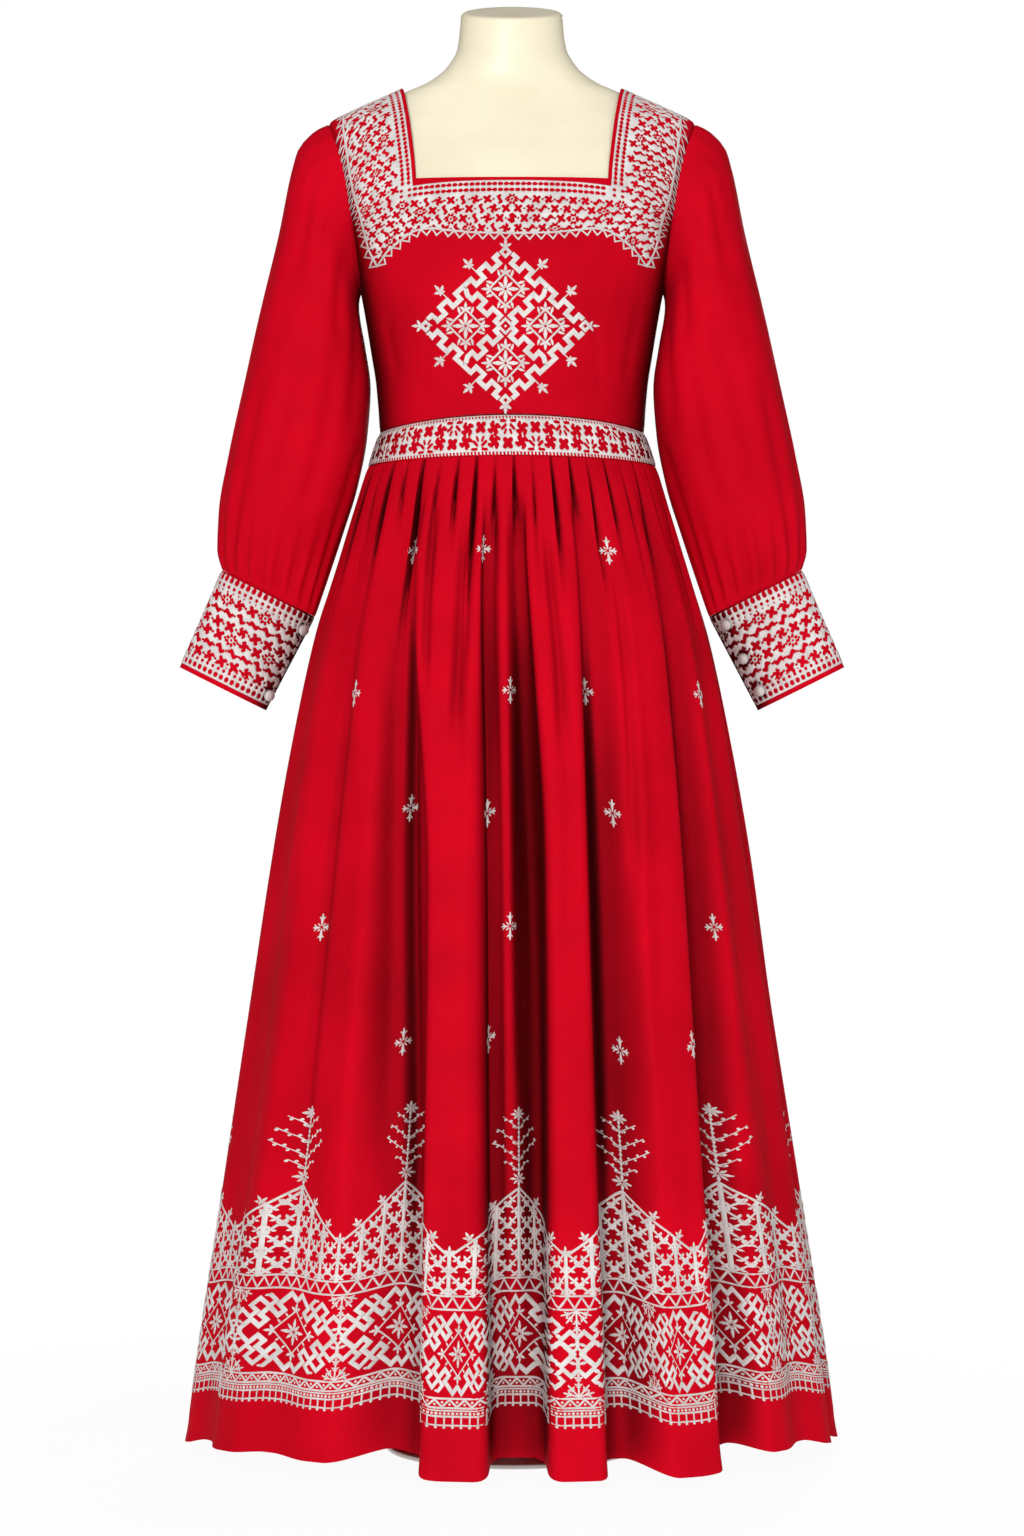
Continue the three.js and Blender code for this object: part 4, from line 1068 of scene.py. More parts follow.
def make_bodice(side, name, node):
    rows, columns, point = bodice_grid(side)
    panel = Panel(columns, rows, point, BODICE_MIDDLE)
    chest = int(round((SIDE_ROWS + CHEST_ROWS) / rows[-1] * BODICE_FINE_ROWS))
    keep = np.ones((len(rows) - 1, len(columns) - 1), bool)
    if side == FRONT:
        keep[chest:, np.abs(columns[:-1] + columns[1:]) / 2 < CENTRE_COLUMNS] = False
    lengths = spaced_lengths(point[:chest], 1)
    return shell(name, node, panel, CLOTH, RED, lengths, spaced_lengths(point, 0), keep)


BAND_COLUMNS = 240
BAND_ROWS = 12
BAND_WIDTH = 36
BAND_SWELL = 0.5
BAND_INSET = 0.3


def make_waistband():
    shares = np.linspace(0, 1, BAND_ROWS + 1)
    angles = np.linspace(0, 360, BAND_COLUMNS, endpoint=False)
    share, angle = np.meshgrid(shares, angles, indexing="ij")
    point = band_point(angle * DEGREE, share)
    swell = BAND_SWELL * np.sin(math.pi * share)
    for from_seam in (share, 1 - share):
        swell = swell - seam_dip(from_seam * BAND_WIDTH, 2.5, 0.8)
    outward = unit(point * np.array([1, 1, 0]))
    point = point + outward * (swell - BAND_INSET)[..., None]
    panel = Panel(np.append(angles, 360.0), shares, point, BAND_MIDDLE, wraps=True)
    around = closed_lengths(point, spaced_lengths(point, 1)[-1] / (BAND_COLUMNS - 1))
    rows = spaced_lengths(point, 0)
    return shell("waistband_shell", "waistband", panel, BAND_CLOTH, RED, around, rows), panel


SKIRT_COLUMNS = 396
SKIRT_LEVELS = np.concatenate([
    np.linspace(0, 0.05, 9)[:-1], np.linspace(0.05, 0.2, 18)[:-1],
    np.linspace(0.2, 0.95, 58)[:-1], np.linspace(0.95, 1, 6),
])


def waist_angles(side, count):
    """Angles spread along the front or back of the waist by length, from the seam's start."""
    places = np.linspace(0, 1, count + 1) * PLEAT_COUNT / 2 + (0 if side == FRONT else PLEAT_COUNT / 2)
    return np.interp(places, WAIST_PLEATS, WAIST_ANGLES)


SKIRT_LENGTH = 1000
HEM_STITCHING = 22
SKIRT_CLOSING = 4


def make_skirt():
    front_angles, back_angles = waist_angles(FRONT, SKIRT_COLUMNS), waist_angles(BACK, SKIRT_COLUMNS)
    angles = np.concatenate([front_angles, back_angles[1:-1]])
    down, angle = np.meshgrid(SKIRT_LEVELS, angles, indexing="ij")
    point = skirt_point(angle, down)
    outward = unit(point * np.array([1, 1, 0]))
    above_hem = (1 - down) * SKIRT_LENGTH
    hem_roll = 0.8 * bell(above_hem, 5) - 0.6 * bell(above_hem - HEM_STITCHING, 2.5)
    point = point + outward * (hem_roll - seam_dip(down * SKIRT_LENGTH, 3, 0.6))[..., None]
    wrapped = np.append(angles, 270.0)
    panel = Panel(wrapped, SKIRT_LEVELS, point, SKIRT_MIDDLE, wraps=True)
    around = closed_lengths(point, SKIRT_CLOSING)
    lengths = spaced_lengths(point, 0)
    pieces = []
    for side, half in ((FRONT, "front"), (BACK, "back")):
        first = 0 if side == FRONT else SKIRT_COLUMNS
        used = np.arange(first, first + SKIRT_COLUMNS + 1)
        net = point[:, used % (2 * SKIRT_COLUMNS)].copy()
        cloth = Panel(wrapped[used], SKIRT_LEVELS, net, SKIRT_MIDDLE)
        for edge in (0, -1):
            cloth.points[:, edge, 1] = side * SEAM_GAP / 2
        piece = shell(f"skirt_{half}_shell", f"skirt_{half}", cloth, CLOTH, RED_OWN_FOLD_SHADE, around[used], lengths)
        pieces.append(piece)
    return pieces, panel


TUBE_COLUMNS = 160
TUBE_CLOSING = 2
SLEEVE_LENGTH = 560
CUFF_LENGTH = 105
CUFF_STITCHING = 5
SEAM_ALLOWANCE = 4
SLEEVE_PLACES = np.concatenate([
    np.linspace(0, 0.06, 9)[:-1], np.linspace(0.06, 0.78, 46)[:-1], np.linspace(0.78, 1, 30),
])
CUFF_PLACES = np.linspace(0, 1, 34)


def tube_points(surface, places, dip_at):
    """A net of points round a sleeve or cuff of the right arm, pressed in by a depth for each place."""
    arounds = np.linspace(0, TURN, TUBE_COLUMNS, endpoint=False)
    place, around = np.meshgrid(places, arounds, indexing="ij")
    point = surface(around, place)
    return point - unit(point - point.mean(axis=1, keepdims=True)) * dip_at(place)[..., None]


def tube(part, hand, places, point, thickness, material):
    if hand == "left":
        point = point * MIRROR
    columns = np.append(np.linspace(0, TURN, TUBE_COLUMNS, endpoint=False), TURN)
    panel = Panel(columns, places, point, point.mean(axis=1, keepdims=True), wraps=True)
    around, down = closed_lengths(point, TUBE_CLOSING), spaced_lengths(point, 0)
    node = f"{part}_{hand}"
    return shell(f"{node}_shell", node, panel, thickness, material, around, down), panel


def sleeve_dip(place):
    return seam_dip(place * SLEEVE_LENGTH, 4, 1.4) + seam_dip((1 - place) * SLEEVE_LENGTH, 3.5, 0.6)


def cuff_dip(down):
    return seam_dip(down * CUFF_LENGTH, 3, 0.7) + 0.5 * bell((1 - down) * CUFF_LENGTH - CUFF_STITCHING, 1.2)


bodice_front = make_bodice(FRONT, "bodice_front_shell", "bodice_front")
bodice_back = make_bodice(BACK, "bodice_back_shell", "bodice_back")
waistband, waistband_panel = make_waistband()
(skirt_front, skirt_back), skirt_panel = make_skirt()
sleeve_points = tube_points(sleeve_point, SLEEVE_PLACES, sleeve_dip)
sleeve_points[0, :, 0] -= SEAM_ALLOWANCE
sleeve_points[-1] -= CUFF_AXIS * SEAM_GAP
cuff_points = tube_points(cuff_point, CUFF_PLACES, cuff_dip)
sleeves, cuffs = {}, {}
for hand in ("left", "right"):
    sleeves[hand] = tube("sleeve", hand, SLEEVE_PLACES, sleeve_points, CLOTH, RED_OWN_FOLD_SHADE)
    cuffs[hand] = tube("cuff", hand, CUFF_PLACES, cuff_points, BAND_CLOTH, RED)


# Buttons: domes covered in thread

BUTTON_RIBS = 12
BUTTON_RIB_DEPTH = 0.035
BUTTON_COLUMNS = 72
BUTTON_RINGS = 19
BUTTON_TURN_IN = 0.96
BUTTON_FULLNESS = 0.75
BUTTON_GROOVE = 0.45
BUTTON_GROOVE_PLACE = 0.72


def cuff_normal(around, down):
    step = 1e-3
    along = cuff_point(around + step, down) - cuff_point(around - step, down)
    falling = cuff_point(around, down + step) - cuff_point(around, down - step)
    normal = unit(np.cross(along, falling))
    middle = (cuff_point(0.0, down) + cuff_point(math.pi, down)) / 2
    if np.dot(normal, cuff_point(around, down) - middle) < 0:
        normal = -normal
    return unit(normal - CUFF_AXIS * np.dot(normal, CUFF_AXIS))


def make_button(hand, number, inward, down):
    around = math.pi - inward
    normal = cuff_normal(around, down)
    centre = cuff_point(around, down) + normal * (BUTTON_HALF_HEIGHT + SEAM_GAP)
    if hand == "left":
        normal, centre = normal * MIRROR, centre * MIRROR
    side = unit(np.cross(normal, np.array([0, 0, 1.0])))
    up = np.cross(side, normal)
    turns = np.linspace(0, TURN, BUTTON_COLUMNS, endpoint=False)
    rings = []
    for slant in np.linspace(-1, 1, BUTTON_RINGS):
        tilt = slant * QUARTER * BUTTON_TURN_IN
        ribs = 1 + BUTTON_RIB_DEPTH * np.cos(BUTTON_RIBS * turns + 5 * slant) * np.cos(tilt)
        reach = BUTTON_RADIUS * 0.97 * np.cos(tilt) ** BUTTON_FULLNESS * ribs
        groove = BUTTON_GROOVE * bell(abs(slant) - BUTTON_GROOVE_PLACE, 0.08)
        rise = BUTTON_HALF_HEIGHT * np.sin(tilt) - groove
        flat = np.outer(reach * np.cos(turns), side) + np.outer(reach * np.sin(turns), up)
        rings.append(centre + flat + normal * rise)
    piece = closed_rings(f"thread_button_{hand}_{number}", np.array(rings), WHITE)
    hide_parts(f"button_{hand}_{number}")


for hand, set_out in BUTTONS.items():
    for number, down in enumerate(set_out["places"], 1):
        make_button(hand, number, set_out["turn"], down)


# Embroidery: raised strokes of thread, drawn in flat pattern coordinates and laid on the cloth


STROKE_STEP = 4.5
STROKE_SINK = 0.12
FULL_HEIGHT_WIDTH = 2.2
BEAD_CORNERS = 6
BEAD_HEIGHT = 0.8
BEAD_SINK = 0.1


class Threads:
    """Strokes of thread. Place turns flat pattern points into cloth points and normals."""

    def __init__(self, name, place):
        self.name, self.place = name, place
        self.flat, self.rise, self.uv, self.quads, self.triangles = [], [], [], [], []
        self.count = 0

    def add(self, flat, rise, uv, quads=None, triangles=None):
        self.flat.append(flat)
        self.rise.append(rise)
        self.uv.append(uv)
        if quads is not None and len(quads):
            self.quads.append(quads + self.count)
        if triangles is not None and len(triangles):
            self.triangles.append(triangles + self.count)
        self.count += len(flat)

    def stroke(self, points, width, height=0.7, round_ends=True, closed=False, step=STROKE_STEP):
        """A satin-stitched line. Width is one number, or one at each point."""
        points = np.asarray(points, float)
        widths = np.broadcast_to(np.asarray(width, float), (len(points),))
        if closed:
            points = np.concatenate([points, points[:1]])
            widths = np.append(widths, widths[0])
        lengths = lengths_along(points)
        extra = [np.linspace(a, b, max(1, math.ceil((b - a) / step)), endpoint=False)
                 for a, b in zip(lengths[:-1], lengths[1:])]
        places = np.append(np.concatenate(extra), lengths[-1])
        line = np.stack([np.interp(places, lengths, points[:, k]) for k in (0, 1)], axis=-1)
        wide = np.interp(places, lengths, widths)
        along = unit(np.diff(line, axis=0))
        before = np.concatenate([along[-1:] if closed else along[:1], along])
        after = np.concatenate([along, along[:1] if closed else along[-1:]])
        middle = unit(before + after)
        mitre = 1 / np.clip((middle * after).sum(-1), 0.5, 1)
        aside = np.stack([-middle[:, 1], middle[:, 0]], axis=-1) * mitre[:, None]
        if round_ends and not closed:
            cap = 0.32 * wide[[0, -1]]
            line = np.concatenate([line[:1] - along[:1] * cap[0], line, line[-1:] + along[-1:] * cap[1]])
            wide = np.concatenate([[wide[0] * 0.5], wide, [wide[-1] * 0.5]])
            aside = np.concatenate([aside[:1], aside, aside[-1:]])
            places = np.concatenate([[places[0] - cap[0]], places, [places[-1] + cap[1]]])
        half = aside * wide[:, None] / 2
        flat = np.stack([line + half, line, line - half], axis=1).reshape(-1, 2)
        top = height * np.clip(wide / FULL_HEIGHT_WIDTH, 0.45, 1)
        low = np.full_like(top, -STROKE_SINK)
        rise = np.stack([low, top, low], axis=1).ravel()
        across = np.stack([wide / 2, 0 * wide, -wide / 2], axis=1).ravel()
        uv = np.stack([np.repeat(places, 3), across], axis=-1)
        start = 3 * np.arange(len(line) - 1)[:, None]
        quads = np.concatenate([start + np.array([0, 3, 4, 1]), start + np.array([1, 4, 5, 2])])
        self.add(flat, rise, uv, quads)

    def leaf(self, start, end, width, height=0.7):
        middle = mix(np.asarray(start, float), np.asarray(end, float), 0.55)
        self.stroke([start, middle, end], [0.35 * width, width, 0.35 * width], height, round_ends=False)

    def bead(self, x, y, radius):
        """A small knot of thread."""
        turns = np.linspace(0, TURN, BEAD_CORNERS + 1)[:-1]
        ring = np.stack([x + radius * np.cos(turns), y + radius * np.sin(turns)], axis=-1)
        flat = np.concatenate([ring, [[x, y]]])
        rise = np.append(np.full(BEAD_CORNERS, -BEAD_SINK), BEAD_HEIGHT)
        corner = np.arange(BEAD_CORNERS)
        middle = np.full(BEAD_CORNERS, BEAD_CORNERS)
        triangles = np.stack([corner, (corner + 1) % BEAD_CORNERS, middle], axis=-1)
        self.add(flat, rise, flat.copy(), triangles=triangles)

    def piece(self):
        uv = np.concatenate(self.uv)
        points, normals = self.place(np.concatenate(self.flat))
        points = points + normals * np.concatenate(self.rise)[:, None]
        groups = [np.concatenate(group) for group in (self.quads, self.triangles) if group]
        first = groups[0][:, :3]
        a, b, c = (points[first[:, k]] for k in range(3))
        facing = (np.cross(b - a, c - a) * normals[first[:, 0]]).sum()
        faces, corners = [], []
        for group in groups:
            group = group[:, ::-1] if facing < 0 else group
            faces += group.tolist()
            corners.append(group.ravel())
        thing = new_piece(self.name, points, faces, WHITE, uv[np.concatenate(corners)] * MM)


def turned(points, angle, centre=(0, 0)):
    sine, cosine = math.sin(angle), math.cos(angle)
    points = np.asarray(points, float)
    return np.stack([
        centre[0] + points[..., 0] * cosine - points[..., 1] * sine,
        centre[1] + points[..., 0] * sine + points[..., 1] * cosine,
    ], axis=-1)


def eight_flower(threads, centre, reach, diagonal, width):
    """A cross of four long and four short leaves round a small diamond."""
    for arm in range(8):
        length = reach if arm % 2 == 0 else diagonal
        start, end = turned([(0.12 * length, 0), (length, 0)], arm * TURN / 8, centre)
        threads.leaf(start, end, width if arm % 2 == 0 else 0.8 * width)


def finial(threads, root, direction, size, stem=0.0):
    """A sprout of three leaves on a short stem."""
    base = np.asarray(root, float)
    bud = turned([(stem, 0)], direction, base)[0]
    if stem:
        threads.stroke([base, bud], 0.16 * size, 0.5)
    for side, length in ((-1.05, 0.75), (0, 1), (1.05, 0.75)):
        start, end = turned([(0, 0), (length * size, 0)], direction + side, bud)
        threads.leaf(start, end, 0.42 * size)
    for side in (-2.2, 2.2):
        start, end = turned([(0, 0), (0.45 * size, 0)], direction + side, bud)
        threads.leaf(start, end, 0.3 * size)


def sprig(threads, x, y, size):
    """The small flower sewn all over the skirt: four plump petals, the upright ones longer."""
    for arm in range(4):
        reach = size if arm % 2 else 0.66 * size
        middle = turned([(0.56 * reach, 0)], arm * QUARTER, (x, y))[0]
        start, end = turned([(0.1 * size, 0), (reach, 0)], arm * QUARTER, (x, y))
        threads.leaf(start, end, 0.27 * size)
        for side in (-1, 1):
            tip = middle + turned([(0.2 * size, side * 0.24 * size)], arm * QUARTER)[0]
            threads.leaf(middle, tip, 0.15 * size, 0.6)
        start, end = turned([(0.12 * size, 0), (0.42 * size, 0)], (arm + 0.5) * QUARTER, (x, y))
        threads.leaf(start, end, 0.15 * size, 0.6)


# Where patterns lie on the skirt

PIXEL = 1.04
PICTURE_MIDDLE = 512.5
PICTURE_LEVEL = 768
VIEW_MM = 4000
LEVEL_MM = 706
PIXELS_AT_VIEW = VIEW_MM / PIXEL


def picture_x(points):
    return PICTURE_MIDDLE + points[..., 0] * PIXELS_AT_VIEW / (VIEW_MM + points[..., 1])


def picture_y(points):
    return PICTURE_LEVEL - (points[..., 2] - LEVEL_MM) * PIXELS_AT_VIEW / (VIEW_MM + points[..., 1])


FLANK_SHARE = 0.4
HEM_LEVEL = 14.0
SKIRT_DROP = 1006.0
SEEN_WITHIN = 1.5


def skirt_arc(height):
    """Length of pattern round the skirt at a height above the hem, which counts a fold's flanks less."""
    angles = skirt_panel.columns
    depth, shift = folds_at(angles, height + HEM_LEVEL)
    x, y = ring_point(ring_at(SKIRT, height + HEM_LEVEL), (angles + shift) * DEGREE)
    steps = np.hypot(np.hypot(np.diff(x), np.diff(y)), FLANK_SHARE * np.diff(depth))
    return np.concatenate([[0], np.cumsum(steps)])


def angle_seen(pixel, height):
    """The angle of the foremost cloth seen at a picture x, at a height above the hem."""
    row = np.argmin(np.abs(SKIRT_LEVELS - (1 - height / SKIRT_DROP)))
    angles = np.arange(-89, 89, 0.1)
    line = skirt_panel.at(angles, np.full(len(angles), SKIRT_LEVELS[row]))[0]
    off = np.abs(picture_x(line) - pixel)
    near = off < SEEN_WITHIN
    if not near.any():
        return angles[np.argmin(off)]
    return angles[near][np.argmin(line[near, 1])]


def repeat_scale(anchors, total, height):
    """Turns a repeat's number into the skirt's angle, evenly along the cloth between known places."""
    arc = skirt_arc(height)
    columns = skirt_panel.columns
    marks = np.interp([angle_seen(pixel, height) for pixel, _ in anchors], columns, arc)
    numbers = np.array([number for _, number in anchors], float)
    seam_share = marks[0] / (arc[-1] - marks[-1] + marks[0])
    rest = total - (numbers[-1] - numbers[0])
    start = numbers[0] - rest * seam_share
    marks = np.concatenate([[0], marks, [arc[-1]]])
    numbers = np.concatenate([[start], numbers, [start + total]])

    def angle_at(number):
        wrapped = start + np.mod(number - start, total)
        return np.interp(np.interp(wrapped, numbers, marks), arc, columns)

    return angle_at, start


def even_scale(height):
    """Places flat points by their length round the skirt, measured at one height."""
    arc = skirt_arc(height)

    def place(flat):
        around = np.interp(np.mod(flat[:, 0], arc[-1]), arc, skirt_panel.columns)
        return skirt_panel.at(around, 1 - flat[:, 1] / SKIRT_DROP)

    return place, arc


def on_skirt(angle_at, repeat):
    """Places flat points whose x is millimetres of pattern and whose y is height above the hem."""

    def place(flat):
        return skirt_panel.at(angle_at(flat[:, 0] / repeat), 1 - flat[:, 1] / SKIRT_DROP)

    return place


# The border's bands, by height above the hem

LADDER_LOW = 53
LADDER_HIGH = 67.5
ZIGZAG_HIGH = 79
MAIN_HIGH = 164
GABLE_BASE = 177
GABLE_VALLEY = 215
GABLE_PEAK = 266
TREE_TOP = 345
MAIN_REPEATS = 20
MAIN_REPEAT = 110
GABLES = 14
GABLE_WIDTH = 126
# Which motif or gable is seen where: picture x, and the number of the repeat
MAIN_ANCHORS = ((216, -4), (294, -3), (399, -2), (458, -1), (521, 0), (622, 1), (680, 2), (730, 3), (786, 4))
GABLE_ANCHORS = (
    (236, -2.5), (299, -2), (404, -1), (449, -0.5), (521, 0), (564, 0.5), (624, 1), (722, 2), (792, 2.5),
)

KEY_LINE = (
    (0, 31), (6.4, 37.4), (17.7, 26.1), (12, 20.4), (17.7, 14.7), (26.2, 23.2), (33.3, 16.1),
    (27.6, 10.4), (33.3, 4.7), (40.4, 11.8), (46.8, 5.4), (52, 0),
)
OUTER_KEY_SHIFT = np.array([8.6, 9.4])
KEY_WIDTH = 5.2
THIN_DIAMOND = 21


def mirrored_four(points):
    points = np.asarray(points, float)
    for x_sign in (-1, 1):
        for y_sign in (-1, 1):
            yield points * np.array([x_sign, y_sign])


def diamond(half):
    return [(half, 0), (0, half), (-half, 0), (0, -half)]


def main_motif(threads, x):
    middle = np.array([x, (ZIGZAG_HIGH + MAIN_HIGH) / 2])
    for line in mirrored_four(KEY_LINE):
        threads.stroke(middle + line, KEY_WIDTH, 0.9)
    for line in mirrored_four(np.array(KEY_LINE[1:-1]) + OUTER_KEY_SHIFT):
        inside = np.abs(line[:, 1]) < 40
        threads.stroke(middle + line[inside], 0.86 * KEY_WIDTH, 0.85)
        threads.leaf(middle + line[inside][0], middle + line[inside][0] + np.sign(line[0]) * (5, -0.5), 3.2)
    threads.stroke(middle + np.array(diamond(THIN_DIAMOND)), 1.7, 0.6, closed=True)
    eight_flower(threads, middle, 13, 10, 4.2)
    threads.stroke(middle + np.array(diamond(5)), 1.8, 0.9, closed=True)
    for arm in range(4):
        finial(threads, turned([(THIN_DIAMOND, 0)], arm * QUARTER, middle)[0], arm * QUARTER, 8)
        for share in (0.34, 0.66):
            slant = mix(np.array([THIN_DIAMOND, 0.0]), np.array([0.0, THIN_DIAMOND]), share)
            root = turned([slant], arm * QUARTER, middle)[0]
            end = turned([slant + 5.2 / math.sqrt(2)], arm * QUARTER, middle)[0]
            threads.leaf(root, end, 2.6)


def half_flower(threads, x, base, up):
    """Half a flower on a band's edge. Up is 1 on the lower edge and -1 under the upper edge."""
    for slant, length in ((0, 17), (0.66, 14), (-0.66, 14), (1.25, 13), (-1.25, 13)):
        tip = np.array([x + length * math.sin(slant), base + up * length * math.cos(slant)])
        root = np.array([x, base])
        threads.stroke([root, tip], 1.8, 0.6)
        away = QUARTER * up - up * slant
        finial(threads, mix(root, tip, 0.62), away, 5.2)
        if slant == 0:
            finial(threads, tip, away, 6)
    threads.leaf((x - 4, base + up * 2), (x - 11, base + up * 3.4), 2.4)
    threads.leaf((x + 4, base + up * 2), (x + 11, base + up * 3.4), 2.4)


def main_between(threads, x):
    """The crossing between two motifs: a small diamond with half flowers above and below."""
    middle = (ZIGZAG_HIGH + MAIN_HIGH) / 2
    half_flower(threads, x, ZIGZAG_HIGH + 1.5, 1)
    half_flower(threads, x, MAIN_HIGH - 1.5, -1)
    threads.stroke(np.array([x, middle]) + np.array(diamond(6)), 3, 0.9, closed=True)
    for side in (-1, 1):
        threads.stroke([(x, middle + side * 6), (x, middle + side * 17)], 3.6, 0.8)
        for reach in (-1, 1):
            threads.leaf((x, middle + side * 10), (x + reach * 8, middle + side * 7.5), 3.6)


def line_round(threads, start, end, height, width):
    threads.stroke([(start, height), (end, height)], width, round_ends=False, step=6.0)


def ladder(threads, start, end, low, high, pitch, width):
    """Two rows of small squares between three lines, with a bead at each bar's foot."""
    middle = mix(low, high, 0.62)
    line_round(threads, start, end, middle, 1.2 * width)
    line_round(threads, start, end, high, width)
    line_round(threads, start, end, low + 0.5, width)
    count = int(round((end - start) / pitch))
    for bar in range(count):
        x = start + (bar + 0.5) * (end - start) / count
        threads.stroke([(x, low), (x, middle)], width, 0.6, step=12)
        threads.bead(x, low - 1.2, 1.8)
        threads.bead(x, mix(middle, high, 0.5), 1.9)
        threads.bead(x + 0.5 * pitch, mix(middle, high, 0.5), 1.5)


def zigzag(threads, start, end, low, high, pitch, width, knots):
    line_round(threads, start, end, low, width)
    line_round(threads, start, end, high, width)
    count = int(round((end - start) / pitch))
    xs = start + np.arange(2 * count + 1) * (end - start) / (2 * count)
    ys = np.where(np.arange(2 * count + 1) % 2 == 0, low + 1, high - 1)
    threads.stroke(np.stack([xs, ys], axis=-1), width * 1.05, 0.8, round_ends=False)
    if knots:
        for x, y in zip(xs, ys):
            near = low + 3.4 if y > (low + high) / 2 else high - 3.4
            threads.bead(x, near, 1.5)


def gable_top(x):
    away = abs(x - GABLE_WIDTH * round(x / GABLE_WIDTH)) / (GABLE_WIDTH / 2)
    return GABLE_PEAK - (GABLE_PEAK - GABLE_VALLEY) * away


LATTICE = GABLE_WIDTH / 6
# A slanting line of the lattice is followed up from the gable's foot in steps, over this much height
SLANT_STEP = 3.0
SLANT_RISE = 96


def gable(threads, x):
    """One gable of the lattice, with vertical bars, diagonals, leaves and finials."""
    half = GABLE_WIDTH / 2
    outline = [(x - half, GABLE_VALLEY), (x, GABLE_PEAK), (x + half, GABLE_VALLEY)]
    threads.stroke(outline, 2.6, 0.9)
    for bar in range(-2, 4):
        at = bar * LATTICE
        threads.stroke([(x + at, GABLE_BASE), (x + at, gable_top(at) - 0.5)], 3.8, 0.8, step=6)
    for start in np.arange(-6, 7) * LATTICE:
        for slope in (-1, 1):
            line = start + slope * np.arange(0, SLANT_RISE, SLANT_STEP)
            rise = GABLE_BASE + np.arange(0, SLANT_RISE, SLANT_STEP)
            inside = (np.abs(line) <= half) & (rise < [gable_top(v) for v in line])
            if inside.sum() > 1:
                first, last = np.nonzero(inside)[0][[0, -1]]
                ends = [(x + line[k], rise[k]) for k in (first, last)]
                threads.stroke(ends, 2.5, 0.65, step=7)
                for along in np.arange(3.4, (last - first) * SLANT_STEP - 2, LATTICE / 4):
                    spot = np.array([x + line[first] + slope * along, rise[first] + along])
                    for lean in (-1, 1):
                        tip = spot + turned([(4.4, 0)], QUARTER - slope * QUARTER / 2 + lean * 1.15)[0]
                        threads.leaf(spot, tip, 3, 0.6)
    for share in (0.36, 0.72):
        for side in (-1, 1):
            root = (x + side * half * share, mix(GABLE_PEAK, GABLE_VALLEY, share))
            finial(threads, root, QUARTER - side * 0.45, 7, 3.5)
    finial(threads, (x - half, GABLE_VALLEY), QUARTER, 7, 3)


# How high above its foot each pair of a tree's branches starts, and how far it reaches
TREE_BRANCHES = ((8, 12), (19, 25), (34, 21), (50, 15))
TREE_BEAD_STEP = 4.6
BRANCH_BEAD_STEP = 4
BRANCH_SLOPE = 0.78


def tree(threads, x):
    """A slender tree on a gable's peak, with beaded branches and a flower at each end."""
    base, top = GABLE_PEAK + 9, TREE_TOP - 6
    eight_flower(threads, (x, base), 8.5, 7, 3.2)
    threads.stroke([(x, base + 6), (x, top - 3)], 1.5, 0.5)
    for height in np.arange(base + 9, top - 4, TREE_BEAD_STEP):
        threads.bead(x, height, 1.7)
    for rise, reach in TREE_BRANCHES:
        height = base + rise
        for side in (-1, 1):
            end = np.array([x + side * reach, height + reach * BRANCH_SLOPE])
            threads.stroke([(x, height), end], 1.3, 0.5)
            for step in range(1, int(reach / BRANCH_BEAD_STEP) + 1):
                share = step * BRANCH_BEAD_STEP / reach
                spot = mix(np.array([x, height]), end, min(share, 1))
                spot = spot + np.array([side * 0.9, -1.1]) * (1 if step % 2 else -1)
                threads.bead(spot[0], spot[1], 1.5)
        threads.leaf((x - 5, height + 0.5), (x + 5, height + 0.5), 2.2)
    eight_flower(threads, (x, top), 7.5, 6.5, 3.4)
    threads.bead(x, top, 2)


LADDER_BAR_PITCH = 8.4
ZIGZAG_PITCH = 15
ZIGZAG_GAP = 2.5
MAIN_LEVEL = 128
GABLE_LEVEL = 230
BORDER_PARTS = ("front", "back")


def split_at_seam(angle_at, start, total):
    """Where the front and the back of the skirt start and end, in numbers of the repeat."""
    numbers = np.linspace(start, start + total, 2001)
    seam = numbers[np.argmin(np.abs(angle_at(numbers[:-1]) - 90))]
    return (start, seam), (seam, start + total)


